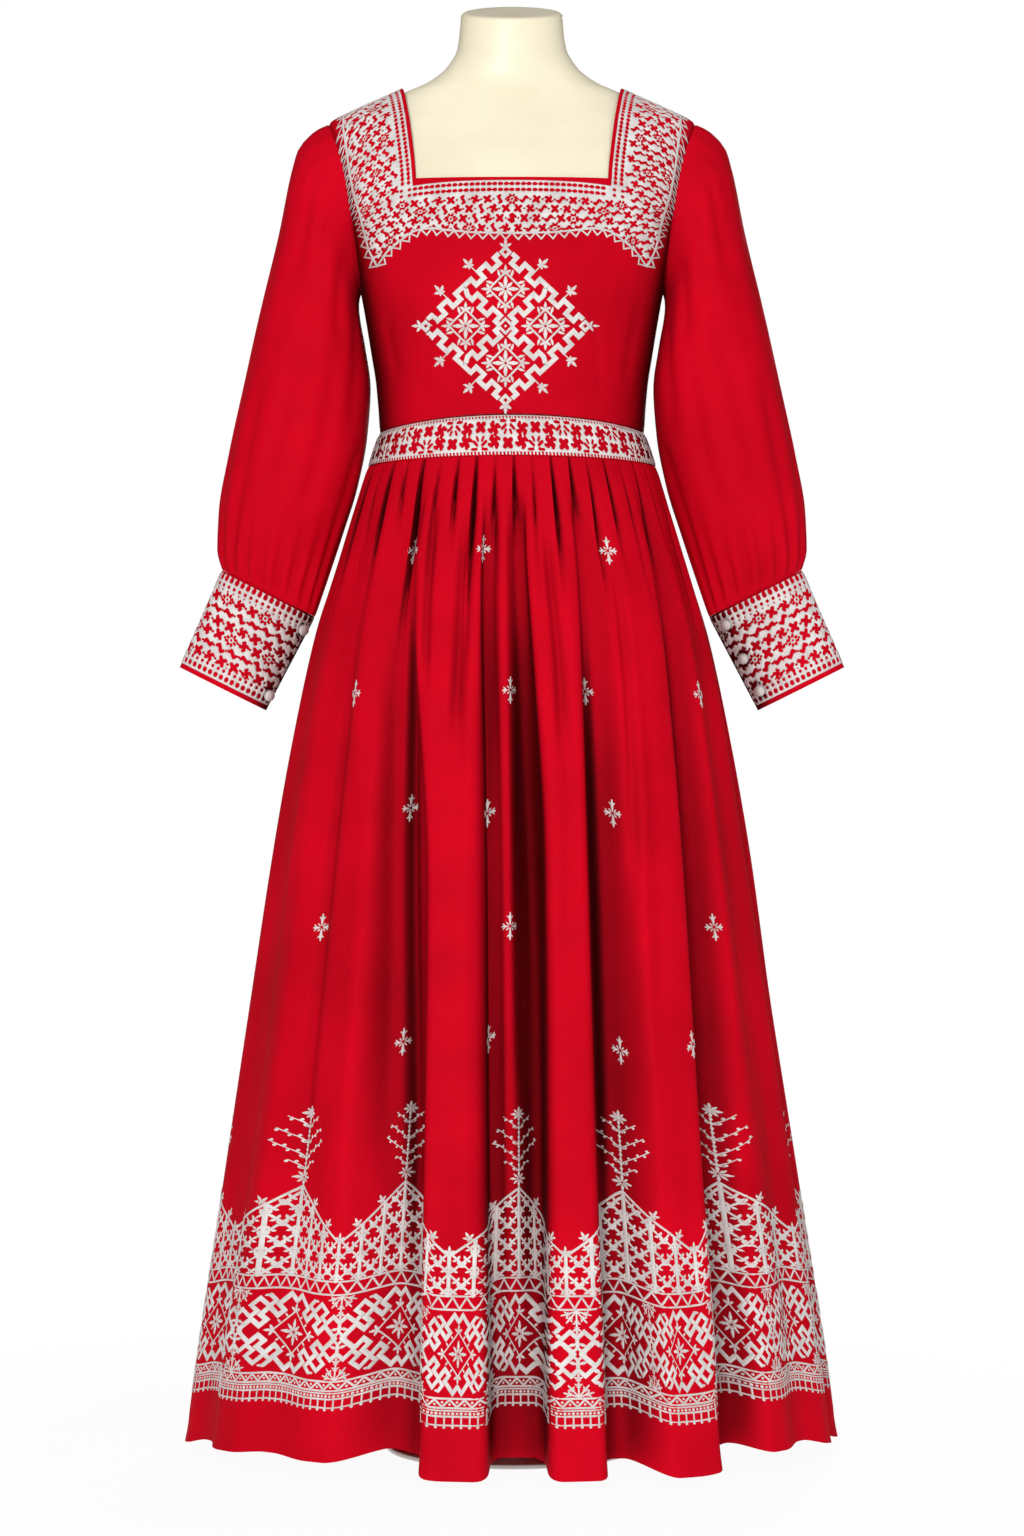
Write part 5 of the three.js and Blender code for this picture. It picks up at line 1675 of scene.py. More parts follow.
def make_border():
    main_angle, main_start = repeat_scale(MAIN_ANCHORS, MAIN_REPEATS, MAIN_LEVEL)
    gable_angle, gable_start = repeat_scale(GABLE_ANCHORS, GABLES, GABLE_LEVEL)
    main_ends = split_at_seam(main_angle, main_start, MAIN_REPEATS)
    gable_ends = split_at_seam(gable_angle, gable_start, GABLES)
    place, arc = even_scale(LADDER_HIGH)
    side_seam = np.interp(90, skirt_panel.columns, arc)
    edging_ends = (0, side_seam), (side_seam, arc[-1])
    for name, (start, end), (low, high), (gable_low, gable_high) in zip(
        BORDER_PARTS, edging_ends, main_ends, gable_ends
    ):
        edging = Threads(f"embroidery_edging_{name}", place)
        ladder(edging, start, end, LADDER_LOW, LADDER_HIGH, LADDER_BAR_PITCH, 1.9)
        zigzag(edging, start, end, LADDER_HIGH + ZIGZAG_GAP, ZIGZAG_HIGH, ZIGZAG_PITCH, 2.3, True)
        zigzag(edging, start, end, MAIN_HIGH, GABLE_BASE, ZIGZAG_PITCH, 2.2, False)
        edging.piece()
        bands = Threads(f"embroidery_border_{name}", on_skirt(main_angle, MAIN_REPEAT))
        for number in np.arange(math.ceil(low), math.ceil(high)):
            main_motif(bands, number * MAIN_REPEAT)
        for number in np.arange(math.ceil(low - 0.5), math.ceil(high - 0.5)) + 0.5:
            main_between(bands, number * MAIN_REPEAT)
        bands.piece()
        gables = Threads(f"embroidery_gables_{name}", on_skirt(gable_angle, GABLE_WIDTH))
        for number in np.arange(math.ceil(gable_low), math.ceil(gable_high)):
            gable(gables, number * GABLE_WIDTH)
            tree(gables, number * GABLE_WIDTH)
        gables.piece()


make_border()


# Sprigs, by their places in the picture, and repeated behind

SPRIG_SIZE = 14
FRONT_SPRIGS = (
    (415, 552), (608, 553), (355, 690), (511, 694), (701, 692), (411, 811), (613, 816),
    (322, 930), (511, 932), (714, 932), (404, 1038), (621, 1047), (692, 1044),
)
# Sprigs that start inside a fold: picture place of the fold's edge, and degrees round from it
FOLD_SPRIGS = ((469, 547, 5), (481, 812, 3.4), (583, 690, 3), (584, 932, 3), (481, 1045, 3), (677, 820, 4))
BACK_ROWS = ((935, 0), (795, 0.5), (680, 0), (565, 0.5), (455, 0))
BACK_START = 104
BACK_END = 262
BACK_PITCH = 21
BACK_SPRIGS = tuple(
    (angle, height)
    for height, shift in BACK_ROWS
    for angle in np.arange(BACK_START + shift * BACK_PITCH, BACK_END, BACK_PITCH)
)


def front_place(pixel_x, pixel_y):
    """The angle and share down the skirt of the cloth seen at a place in the picture."""
    front = np.nonzero(np.abs(skirt_panel.columns) <= 90)[0]
    points = skirt_panel.points[:, front]
    off = (picture_x(points) - pixel_x) ** 2 + (picture_y(points) - pixel_y) ** 2 + 0.004 * points[..., 1]
    row, column = np.unravel_index(np.argmin(off), off.shape)
    return skirt_panel.columns[front[column]], SKIRT_LEVELS[row]


def round_skirt(angle, down):
    """Places flat points around one spot of the skirt, in millimetres of its cloth."""
    row = np.argmin(np.abs(SKIRT_LEVELS - down))
    arc = lengths_along(np.concatenate([skirt_panel.points[row], skirt_panel.points[row, :1]]))
    middle = np.interp(angle, skirt_panel.columns, arc)

    def place(flat):
        around = np.mod(middle + flat[:, 0], arc[-1])
        return skirt_panel.at(np.interp(around, arc, skirt_panel.columns), down - flat[:, 1] / SKIRT_DROP)

    return place


def make_sprigs():
    spots = [front_place(*spot) for spot in FRONT_SPRIGS]
    for pixel_x, pixel_y, further in FOLD_SPRIGS:
        angle, down = front_place(pixel_x, pixel_y)
        spots.append((angle + further, down))
    spots_behind = [(angle, 1 - height / SKIRT_DROP + 0.02) for angle, height in BACK_SPRIGS]
    for name, places in (("front", spots), ("back", spots_behind)):
        gathered = []
        for number, (angle, down) in enumerate(places):
            threads = Threads(f"embroidery_sprig_{name}_{number}", round_skirt(angle, down))
            sprig(threads, 0, 0, SPRIG_SIZE)
            gathered.append(threads)
        joined_threads(f"embroidery_sprigs_{name}", gathered)


def joined_threads(name, parts):
    """One piece out of strokes laid by different places."""
    offsets = np.cumsum([0] + [sum(len(f) for f in part.flat) for part in parts])

    def place(flat):
        points, normals = [], []
        for part, start, end in zip(parts, offsets[:-1], offsets[1:]):
            found = part.place(flat[start:end])
            points.append(found[0])
            normals.append(found[1])
        return np.concatenate(points), np.concatenate(normals)

    whole = Threads(name, place)
    for part, start in zip(parts, offsets[:-1]):
        whole.flat += part.flat
        whole.rise += part.rise
        whole.uv += part.uv
        whole.quads += [quads + start for quads in part.quads]
        whole.triangles += [triangles + start for triangles in part.triangles]
    whole.piece()


make_sprigs()


# Dense grounds: a field of thread with shapes left out of it


def segment_distance(points, starts, ends):
    """Distance of each point from the nearest of the segments, less each one's half width."""
    best = np.full(len(points), 1e9)
    for (ax, ay, wide), (bx, by, _) in zip(starts, ends):
        dx, dy = bx - ax, by - ay
        near = (np.abs(points[:, 0] - ax) < 30) & (np.abs(points[:, 1] - ay) < 30)
        px, py = points[near, 0] - ax, points[near, 1] - ay
        share = clamp((px * dx + py * dy) / max(dx * dx + dy * dy, 1e-9))
        best[near] = np.minimum(best[near], np.hypot(px - share * dx, py - share * dy) - wide / 2)
    return best


def polygon_distance(points, corners):
    """Signed distance from a closed outline, positive inside."""
    corners = np.asarray(corners, float)
    best = np.full(len(points), 1e9)
    inside = np.zeros(len(points), bool)
    x, y = points[:, 0], points[:, 1]
    for (ax, ay), (bx, by) in zip(corners, np.roll(corners, -1, axis=0)):
        dx, dy = bx - ax, by - ay
        share = clamp(((x - ax) * dx + (y - ay) * dy) / max(dx * dx + dy * dy, 1e-9))
        best = np.minimum(best, np.hypot(x - ax - share * dx, y - ay - share * dy))
        crosses = (ay > y) != (by > y)
        inside ^= crosses & (x < ax + (y - ay) * dx / np.where(dy == 0, 1e-9, dy))
    return np.where(inside, best, -best)


class Cuts:
    """Shapes left out of a ground: short thick segments."""

    def __init__(self):
        self.starts, self.ends = [], []

    def segment(self, start, end, width):
        self.starts.append((*start, width))
        self.ends.append((*end, width))

    def cross(self, x, y, reach, width, turn=QUARTER / 2):
        for arm in range(2):
            start, end = turned([(-reach, 0), (reach, 0)], turn + arm * QUARTER, (x, y))
            self.segment(start, end, width)

    def stepped(self, x, y, reach, width, turn=QUARTER / 2):
        """A cross whose arms bend at their ends, as between lines of a key pattern."""
        self.cross(x, y, reach, width, turn)
        for arm in range(4):
            tip = turned([(reach, 0)], turn + arm * QUARTER, (x, y))[0]
            end = turned([(reach + 0.2 * width, 0.55 * reach)], turn + arm * QUARTER, (x, y))[0]
            self.segment(tip, end, 0.8 * width)

    def branch(self, x, y, reach, width, turn):
        """A short bar with a prong at each end, like a bent hook."""
        start, end = turned([(-reach, 0), (reach, 0)], turn, (x, y))
        self.segment(start, end, width)
        for root, side in ((start, 1), (end, -1)):
            tip = turned([(0, side * 0.75 * reach)], turn, root)[0]
            self.segment(root, tip, width * 0.9)

    def star(self, x, y, reach, width):
        """Eight dots round a flower, with one dot in its middle."""
        for arm in range(8):
            start, end = turned([(0.82 * reach, 0), (1.12 * reach, 0)], (arm + 0.5) * TURN / 8, (x, y))
            self.segment(start, end, width)
        self.segment((x, y), (x, y), width)

    def dot(self, x, y, width):
        self.segment((x, y), (x, y), width)

    def motif(self, kind, x, y, turn, sizes):
        """One of the four kinds of motif. Sizes gives the reach and width of each kind."""
        if kind == "star":
            self.star(x, y, *sizes[kind])
        elif kind == "hook":
            self.branch(x, y, *sizes[kind], turn)
        elif kind == "stepped":
            self.stepped(x, y, *sizes[kind], turn)
        else:
            self.cross(x, y, *sizes[kind], turn)


GROUND_CELL = 1.25
GROUND_RISE = 0.8
GROUND_EDGE = 1.3


def ground(threads, low, high, inside, cuts, cell=GROUND_CELL):
    """Fills the area where inside is positive and no cut lies, with rounded edges."""
    xs = np.arange(low[0], high[0] + cell, cell)
    ys = np.arange(low[1], high[1] + cell, cell)
    x, y = np.meshgrid(xs, ys, indexing="ij")
    spots = np.stack([x.ravel(), y.ravel()], axis=-1)
    field = inside(spots)
    live = field > -2 * cell
    field[live] = np.minimum(field[live], segment_distance(spots[live], cuts.starts, cuts.ends))
    number = np.arange(len(spots)).reshape(x.shape)
    a, b, c, d = number[:-1, :-1], number[1:, :-1], number[1:, 1:], number[:-1, 1:]
    halves = np.concatenate([np.stack([a, b, c], -1).reshape(-1, 3), np.stack([a, c, d], -1).reshape(-1, 3)])
    above = field[halves] > 0
    count = above.sum(axis=1)
    whole = halves[count == 3]
    flat, value = [spots], [np.maximum(field, 0)]
    triangles = [whole]
    start = len(spots)
    for wanted, lone_above in ((1, True), (2, False)):
        chosen = halves[count == wanted]
        up = field[chosen] > 0
        lone = np.argmax(up if lone_above else ~up, axis=1)
        order = (lone[:, None] + np.arange(3)) % 3
        corner = np.take_along_axis(chosen, order, axis=1)
        values = field[corner]
        cut_points = []
        for other in (1, 2):
            share = values[:, 0] / (values[:, 0] - values[:, other])
            cut_points.append(mix(spots[corner[:, 0]], spots[corner[:, other]], share[:, None]))
        amount = len(chosen)
        first = start + np.arange(amount)
        second = first + amount
        flat += cut_points
        value += [np.zeros(amount), np.zeros(amount)]
        start += 2 * amount
        if lone_above:
            triangles.append(np.stack([corner[:, 0], first, second], axis=-1))
        else:
            triangles.append(np.stack([first, corner[:, 1], corner[:, 2]], axis=-1))
            triangles.append(np.stack([first, corner[:, 2], second], axis=-1))
    flat, value, triangles = np.concatenate(flat), np.concatenate(value), np.concatenate(triangles)
    used, triangles = np.unique(triangles, return_inverse=True)
    flat, value = flat[used], value[used]
    rise = GROUND_RISE * np.sqrt(clamp(value / GROUND_EDGE)) - 0.1
    threads.add(flat, rise, flat.copy(), triangles=triangles.reshape(-1, 3))


# Patterns on the bodice's front: x across, and length along the cloth up from the neckline

LIFTS = np.linspace(-190, SHOULDER_LIFT, 700)
STRAP_X = 104
NECKLINE_LIFT = LIFT_PER_RADIAN * math.atan2(CHEST_HEIGHT - PIVOT_HEIGHT, 97)
RISES = lengths_along(torso_point(FRONT, np.full(len(LIFTS), float(STRAP_X)), LIFTS))
RISES = RISES - np.interp(NECKLINE_LIFT, LIFTS, RISES)
STRAP_LENGTH = RISES[-1]


def in_creases(point):
    """Points of the torso's front let down into the bodice's creases, and the normals there."""
    normal = unit(torso_slope(point))
    dip = creases_at(BODICE_CREASES, point[:, 0], point[:, 2])
    return point - normal * dip[:, None], normal


def on_bodice(flat):
    return in_creases(torso_point(FRONT, flat[:, 0], np.interp(flat[:, 1], RISES, LIFTS)))


CHART_HALF_WIDTH = 196
CHART_DROP = 130
CHART_STEP = 2.0


def bodice_chart():
    """Picture places of a net of pattern points, to find one from the other."""
    xs = np.arange(-CHART_HALF_WIDTH, CHART_HALF_WIDTH + 1, CHART_STEP)
    xs, rises = np.meshgrid(xs, np.arange(-CHART_DROP, STRAP_LENGTH, CHART_STEP), indexing="ij")
    flat = np.stack([xs.ravel(), rises.ravel()], axis=-1)
    points = on_bodice(flat)[0]
    return flat, np.stack([picture_x(points), picture_y(points)], axis=-1)


CHART_FLAT, CHART_PICTURE = bodice_chart()


def pattern_spot(pixel_x, pixel_y):
    """The pattern point nearest to a place in the picture, with one step between the net's points."""
    off = ((CHART_PICTURE - (pixel_x, pixel_y)) ** 2).sum(-1)
    near = np.argsort(off)[:4]
    weight = 1 / (off[near] + 0.05)
    return (CHART_FLAT[near] * weight[:, None]).sum(0) / weight.sum()


# The yoke's outer edge in the picture, from the left shoulder to the middle of the chest
YOKE_EDGE = (
    (343, 120), (344, 131), (346, 142), (349, 167), (354, 195), (360, 214), (365, 235),
    (369, 250), (377, 267), (386, 253), (393, 247), (402, 240), (409, 234), (417, 230),
    (431, 228), (448, 230), (473, 232), (506, 233), (512, 233),
)
YOKE_PITCH = 12.4
YOKE_ROW = 9.4
YOKE_ORDER = ("star", "cross", "hook", "stepped", "cross", "hook", "stepped", "cross", "hook")
YOKE_SIZES = {"star": (4.3, 2.3), "cross": (3.7, 2.9), "stepped": (3.1, 2.6), "hook": (3.1, 2.8)}
NECK_EDGE_RED = 3.4
LADDER_WIDTH = 14
LADDER_PITCH = 5.8
LADDER_ROWS = (0.27, 0.72)
VANDYKE_PITCH = 11.5
VANDYKE_DEPTH = 6.6


def neck_edge_x(rise):
    lift = np.interp(rise, RISES, LIFTS)
    share = clamp((lift - NECKLINE_LIFT) / (SHOULDER_LIFT - NECKLINE_LIFT))
    low_x = ring_at(TORSO, CHEST_HEIGHT)["width"] * math.sin(CHEST_ANGLE)
    return mix(low_x, NECK_POINT_X, share ** STRAP_CURVE)


def resampled(points, pitch):
    """Points evenly spaced along a line."""
    points = np.asarray(points, float)
    lengths = lengths_along(points)
    count = max(2, int(round(lengths[-1] / pitch)) + 1)
    places = np.linspace(0, lengths[-1], count)
    return np.stack([np.interp(places, lengths, points[:, k]) for k in (0, 1)], axis=-1)


def yoke_cuts(cuts):
    """Crosses, hooks, stars and dots over the yoke, mirrored about its middle."""
    ladder_edge = NECK_EDGE_RED + LADDER_WIDTH
    for j in range(-8, 18):
        y = -ladder_edge - 6 + j * YOKE_ROW
        on_strap = y > -ladder_edge - 4
        first = neck_edge_x(y) + ladder_edge + 4.2 if on_strap else 0
        for i in range(0, 20):
            x = first + (i + 0.5 * (j % 2)) * YOKE_PITCH
            kind = YOKE_ORDER[(2 * i + 5 * j) % len(YOKE_ORDER)]
            turn = QUARTER / 2 + 0.25 * math.sin(1.9 * i + 2.6 * j)
            for side in (-1, 1):
                cuts.motif(kind, side * x, y, turn if side > 0 else 2 * QUARTER - turn, YOKE_SIZES)
                cuts.dot(side * (x + YOKE_PITCH / 2), y, 2.2)


def make_yoke():
    edge = np.array([pattern_spot(*spot) for spot in YOKE_EDGE])
    edge[0, 1] = STRAP_LENGTH - 2
    rises = np.linspace(STRAP_LENGTH - 2, 0, 24)
    neck = np.stack([-(neck_edge_x(rises) + NECK_EDGE_RED), rises], axis=-1)
    corner = (-(neck_edge_x(0) + NECK_EDGE_RED - 0.6), -NECK_EDGE_RED)
    left = [*neck[:-1], corner, (0, -NECK_EDGE_RED)]
    outline = np.concatenate([left, edge[::-1]])
    cuts = Cuts()
    straight = neck_edge_x(0)
    for row in LADDER_ROWS:
        count = int(2 * straight / LADDER_PITCH)
        for bar in range(-count // 2, count // 2 + 1):
            x = bar * LADDER_PITCH
            y = -NECK_EDGE_RED - row * LADDER_WIDTH
            cuts.segment((x - 0.6, y), (x + 0.6, y), 3.7)
        for side in (-1, 1):
            for rise in np.arange(1, STRAP_LENGTH - 3, LADDER_PITCH * 0.9):
                x = side * (neck_edge_x(rise) + NECK_EDGE_RED + row * LADDER_WIDTH)
                cuts.segment((x, rise - 0.5), (x, rise + 0.5), 3.5)
        for along in (-0.3, 0.3):
            for side in (-1, 1):
                x = side * (straight + NECK_EDGE_RED + (0.5 + along) * LADDER_WIDTH)
                cuts.dot(x, -NECK_EDGE_RED - row * LADDER_WIDTH, 3.6)
    yoke_cuts(cuts)
    whole = np.concatenate([outline, (outline * np.array([-1, 1]))[::-1]])

    yoke = Threads("embroidery_yoke", on_bodice)
    low, high = whole.min(axis=0), whole.max(axis=0)
    closed = np.concatenate([
        np.array(left), np.array([(40, -NECK_EDGE_RED), (40, edge[-1, 1])]), edge[::-1],
    ])

    def inside_yoke(points):
        return polygon_distance(np.stack([-np.abs(points[:, 0]), points[:, 1]], axis=-1), closed)

    ground(yoke, low - 1, high + 1, inside_yoke, cuts)
    for side in (-1, 1):
        line = edge * np.array([side * -1, 1])
        points = resampled(line, VANDYKE_PITCH / 2)
        along = unit(np.gradient(points, axis=0))
        aside = np.stack([along[:, 1], -along[:, 0]], axis=-1) * (1 if side < 0 else -1)
        zigzag_line = points.copy()
        zigzag_line[1::2] += aside[1::2] * VANDYKE_DEPTH
        yoke.stroke(zigzag_line[1:], 1.9, 0.7)
        yoke.stroke(points, 2.2, 0.8)
    yoke.piece()


make_yoke()


# The medallion, in millimetres of the picture's plane around its centre

MEDALLION_MIDDLE = (506, 326)
MEDALLION_WIDE = 41.5
MEDALLION_TALL = 38.5
MEDALLION_KEY = 5.6
MEDALLION_DIAMOND = 17.5


def on_picture(middle):
    """Places flat points where the camera sees them on the bodice, around a place in the picture."""

    def place(flat):
        x_at = (middle[0] - PICTURE_MIDDLE) * PIXEL + flat[:, 0]
        z_at = (PICTURE_LEVEL - middle[1]) * PIXEL + flat[:, 1]
        x, z = x_at, LEVEL_MM + z_at
        for _ in range(6):
            scale = 1 - torso_depth(FRONT, x, z) / VIEW_MM
            x, z = x_at * scale, LEVEL_MM + z_at * scale
        return in_creases(stack(x, -torso_depth(FRONT, x, z), z))

    return place


# One arm of the key border: from the middle to the next crossing, in steps along and aside
KEY_ARM = (
    (0.55, 0), (1, 0), (1, 0.9), (2, 0.9), (2, -0.1), (3, -0.1), (3, 0.9), (4, 0.9), (4, 0), (4.6, 0),
)


def key_arm(threads, start, end, flip, joined=0.0):
    """A stepped line between two crossings, which starts some steps along or at the crossing itself."""
    start, end = np.asarray(start, float), np.asarray(end, float)
    along = end - start
    length = np.linalg.norm(along)
    along = along / length
    aside = np.array([-along[1], along[0]]) * flip
    unit_step = length / 5.15
    steps = [(joined, 0.4), (joined, 0), *KEY_ARM] if not joined else KEY_ARM
    line = [start + along * a * unit_step + aside * (b - 0.4) * unit_step * 0.8 for a, b in steps]
    if joined:
        line.append(end)
    threads.stroke(line, MEDALLION_KEY, 0.95, round_ends=False)


def medallion_flower(threads, centre):
    middle = np.asarray(centre, float)
    threads.stroke(middle + np.array(diamond(MEDALLION_DIAMOND)), 2.3, 0.7, closed=True)
    eight_flower(threads, middle, 13.5, 10, 5)
    for arm in range(4):
        threads.leaf(*turned([(4, 0), (10, 0)], arm * QUARTER, middle), 4.6)
        finial(threads, turned([(MEDALLION_DIAMOND - 1, 0)], arm * QUARTER, middle)[0], arm * QUARTER, 8.6)
        for share, lean in ((0.32, 0.55), (0.68, -0.55)):
            slant = mix(np.array([MEDALLION_DIAMOND, 0.0]), np.array([0.0, MEDALLION_DIAMOND]), share)
            root = turned([slant], arm * QUARTER, middle)[0]
            tip = turned([slant + turned([(8.4, 0)], QUARTER / 2 - lean * 0.9)[0]], arm * QUARTER, middle)[0]
            threads.leaf(root, tip, 3.4)


def make_medallion():
    threads = Threads("embroidery_medallion", on_picture(MEDALLION_MIDDLE))
    wide, tall = MEDALLION_WIDE, MEDALLION_TALL
    for x_sign, y_sign in ((1, 0), (-1, 0), (0, 1), (0, -1)):
        medallion_flower(threads, (x_sign * wide, y_sign * tall))
    for x_sign in (-1, 1):
        for y_sign in (-1, 1):
            corner = np.array([x_sign * wide, y_sign * tall])
            beside, over = np.array([2 * x_sign * wide, 0]), np.array([0, 2 * y_sign * tall])
            outward = x_sign * y_sign
            key_arm(threads, (0, 0), corner, outward, 0.55)
            key_arm(threads, corner, beside, -outward)
            key_arm(threads, corner, over, outward)
            for tip in (beside, over):
                root = mix(corner, tip, 0.36) + np.array([x_sign, y_sign]) * 5
                finial(threads, root, math.atan2(y_sign, x_sign), 9.5, 8)
    threads.stroke(np.array(diamond(7.5)), 3, 0.95, closed=True)
    threads.bead(0, 0, 1.6)
    for arm, tip in enumerate(((2 * wide, 0), (0, 2 * tall), (-2 * wide, 0), (0, -2 * tall))):
        threads.stroke(np.array(tip) + np.array(diamond(4.6)), 3.6, 0.95, closed=True)
        finial(threads, tip + turned([(4, 0)], arm * QUARTER)[0], arm * QUARTER, 9, 1.5)
    threads.piece()


make_medallion()


# The waistband

BAND_HEIGHT = 35.5
BAND_REPEAT = 58
BAND_SHIFT = -4


def round_panel(panel, height, shift=0.0):
    """Places flat points round a panel from a share of the way round, and gives its length round."""
    row = (len(panel.rows) - 1) // 2
    arc = lengths_along(np.concatenate([panel.points[row], panel.points[row, :1]]))
    total = arc[-1]

    def place(flat):
        around = np.interp(np.mod(flat[:, 0] + shift * total, total), arc, panel.columns)
        return panel.at(around, clamp(flat[:, 1] / height))

    return place, total


def make_band_pattern():
    place, total = round_panel(waistband_panel, BAND_HEIGHT)
    repeats = int(round(total / BAND_REPEAT))
    pitch = total / repeats
    cuts = Cuts()
    for number in range(-1, repeats + 1):
        for half, root, up in ((0, 4.2, 1), (0.5, BAND_HEIGHT - 4.2, -1)):
            x = (number + half) * pitch + BAND_SHIFT
            row = root + up * 7.8
            for at, turn in ((-14.4, 0.12), (14.4, -0.12)):
                cuts.stepped(x + at, row, 4.1, 3.9, QUARTER / 2 + turn)
            cuts.cross(x, root + up * 20.4, 4, 4.4)
            for side in (-1, 1):
                cuts.segment((x + side * 3, root + up * 1.6), (x + side * 7.4, root + up * 1.4), 2.4)
                cuts.segment((x + side * 2.6, root + up * 5), (x + side * 6.2, root + up * 8.2), 2.6)
                cuts.segment((x + side * 2, root + up * 9), (x + side * 3.4, root + up * 12), 2.2)
    for bead in np.arange(0, total, 3.6):
        cuts.dot(bead, 2.6, 2.1)
        cuts.dot(bead + 1.8, BAND_HEIGHT - 2.6, 2.1)
    band = Threads("embroidery_waistband", place)

    def inside(points):
        edge = np.minimum(points[:, 1] - 0.7, BAND_HEIGHT - 0.7 - points[:, 1])
        seam = np.abs(points[:, 0] - total / 2) - 1.2
        return np.minimum(edge, seam)

    ground(band, (0, 0), (total, BAND_HEIGHT), inside, cuts, cell=1.2)
    band.piece()


make_band_pattern()


# The cuffs

CUFF_HEIGHT = 108
CUFF_PITCH = 14.8
CUFF_ROWS = 6
CUFF_ROW_STEP = 11.8
CUFF_ORDER = ("cross", "stepped", "hook", "star", "cross", "hook", "stepped", "cross", "hook")
CUFF_SIZES = {"star": (5, 2.6), "hook": (3.6, 3.7), "stepped": (3.6, 3.3), "cross": (4.4, 3.9)}
CUFF_INNER_EDGE = 4.2
CUFF_LOW_EDGE = 5
CUFF_LADDER_PITCH = 6.6
# Each row of bars: how far down the cuff, how wide, and half how tall
CUFF_BARS = ((5.2, 4.3, 0.9), (12.4, 3.2, 0.2), (91.2, 3.2, 0.2), (98, 4.4, 0.5))
CUFF_FIRST_ROW = 24.5


def make_cuff_pattern(hand):
    place, total = round_panel(cuffs[hand][1], CUFF_HEIGHT, 0.5)
    cuts = Cuts()
    for height, wide, tall in CUFF_BARS:
        for x in np.arange(CUFF_INNER_EDGE + 3, total - CUFF_INNER_EDGE, CUFF_LADDER_PITCH):
            cuts.segment((x, height - tall), (x, height + tall), wide)
    for x in np.arange(CUFF_INNER_EDGE + 4, total - CUFF_INNER_EDGE, CUFF_LADDER_PITCH):
        cuts.dot(x, 16.8, 1.9)
        cuts.dot(x, 87.6, 1.9)
    for j in range(CUFF_ROWS):
        for i in range(int(total / CUFF_PITCH) + 1):
            x = (i + 0.5 * (j % 2)) * CUFF_PITCH + 2
            y = CUFF_FIRST_ROW + j * CUFF_ROW_STEP
            kind = CUFF_ORDER[(i * 3 + j * 5) % len(CUFF_ORDER)]
            turn = QUARTER / 2 + 0.3 * math.sin(2.3 * i + 1.7 * j)
            cuts.motif(kind, x, y, turn, CUFF_SIZES)
            cuts.dot(x + CUFF_PITCH / 2, y, 2.6)
    sleeve = Threads(f"embroidery_cuff_{hand}", place)

    def inside(points):
        x, y = points[:, 0], points[:, 1]
        side = np.minimum(x - CUFF_INNER_EDGE, total - CUFF_INNER_EDGE - x)
        side = side + 0.9 * np.sin(y * 1.15)
        ends = np.minimum(y - 1.6, CUFF_HEIGHT - CUFF_LOW_EDGE - y)
        return np.minimum(side, ends)

    ground(sleeve, (0, 0), (total, CUFF_HEIGHT), inside, cuts)
    sleeve.piece()


for hand in ("left", "right"):
    make_cuff_pattern(hand)


# Camera, lights and floor

SENSOR_WIDTH = 36

camera_data = bpy.data.cameras.new("photo_camera")
camera_data.sensor_width = SENSOR_WIDTH
camera_data.lens = SENSOR_WIDTH * VIEW_MM / (2 * PICTURE_LEVEL * PIXEL)
camera = bpy.data.objects.new("photo_camera", camera_data)
camera.location = (0, -VIEW_MM * MM, LEVEL_MM * MM)
camera.rotation_euler = (QUARTER, 0, 0)
bpy.context.scene.collection.objects.link(camera)
bpy.context.scene.camera = camera
bpy.context.scene.view_settings.view_transform = "Standard"


# Name, place, height of the spot it shines at, width, height and watts
LIGHTS = (
    ("key_light", (-0.9, -4.2, 1.75), 0.7, 1.0, 1.0, 116),
    ("fill_light", (1.6, -3.8, 1.4), 0.7, 1.2, 1.4, 34),
    ("top_light", (0, -0.6, 3.4), 0.8, 1.6, 1.2, 10),
    ("back_light", (0.8, 4.2, 1.8), 0.7, 1.4, 1.4, 60),
)

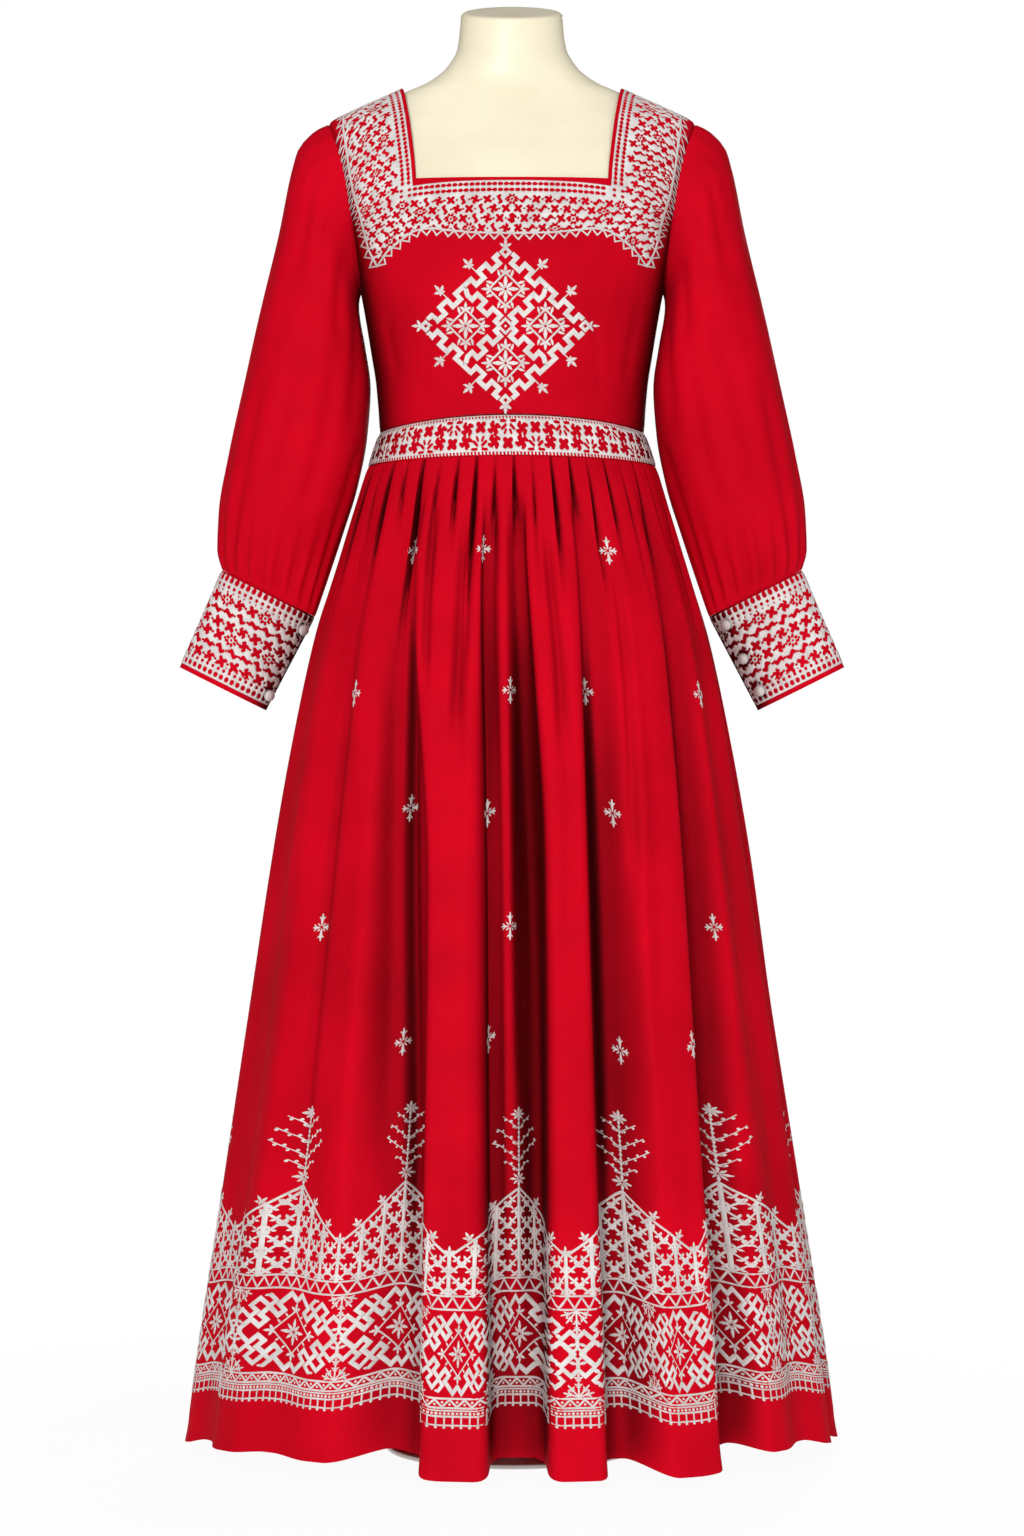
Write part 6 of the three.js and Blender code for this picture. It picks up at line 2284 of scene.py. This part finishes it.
for name, place, target, width, height, power in LIGHTS:
    data = bpy.data.lights.new(name, "AREA")
    data.shape = "RECTANGLE"
    data.size, data.size_y = width, height
    data.energy = power
    light = bpy.data.objects.new(name, data)
    light.location = place
    away = np.array(place) - np.array([0, 0, target])
    tilt = math.atan2(math.hypot(away[0], away[1]), away[2])
    light.rotation_euler = (tilt, 0, math.atan2(away[0], -away[1]))
    bpy.context.scene.collection.objects.link(light)


def white_world():
    world = bpy.data.worlds.new("white_room")
    bpy.context.scene.world = world
    world.use_nodes = True
    nodes, links = world.node_tree.nodes, world.node_tree.links
    nodes.clear()
    output = nodes.new("ShaderNodeOutputWorld")
    seen = nodes.new("ShaderNodeBackground")
    seen.inputs["Color"].default_value = (1, 1, 1, 1)
    lighting = nodes.new("ShaderNodeBackground")
    lighting.inputs["Color"].default_value = (1, 1, 1, 1)
    lighting.inputs["Strength"].default_value = 0.24
    ray = nodes.new("ShaderNodeLightPath")
    blend = nodes.new("ShaderNodeMixShader")
    links.new(ray.outputs["Is Camera Ray"], blend.inputs["Fac"])
    links.new(lighting.outputs["Background"], blend.inputs[1])
    links.new(seen.outputs["Background"], blend.inputs[2])
    links.new(blend.outputs["Shader"], output.inputs["Surface"])


white_world()

FLOOR_SIZE = 6.0


def make_floor():
    """A pale floor that fades to the white background with distance from the dress."""
    mesh = bpy.data.meshes.new("studio_floor")
    half = FLOOR_SIZE / 2
    corners = [(-half, -half, 0), (half, -half, 0), (half, half, 0), (-half, half, 0)]
    mesh.from_pydata(corners, [], [(0, 1, 2, 3)])
    floor = bpy.data.objects.new("studio_floor", mesh)
    bpy.context.scene.collection.objects.link(floor)
    look = Look("floor_sheet", (0.93, 0.93, 0.93), 0.6)
    ball = look.node("TexGradient", gradient_type="SPHERICAL")
    look.link(look.place, ball.inputs["Vector"])
    fade = look.tone(ball.outputs["Fac"], (0.02, (0, 0, 0)), (0.5, (0.05, 0.05, 0.05)))
    glow = look.node("Emission", Strength=1.0)
    blend = look.node("MixShader")
    look.link(fade, blend.inputs["Fac"])
    look.link(glow.outputs["Emission"], blend.inputs[1])
    look.link(look.shader.outputs["BSDF"], blend.inputs[2])
    look.link(blend.outputs["Shader"], look.nodes["Material Output"].inputs["Surface"])
    mesh.materials.append(look.material)


make_floor()
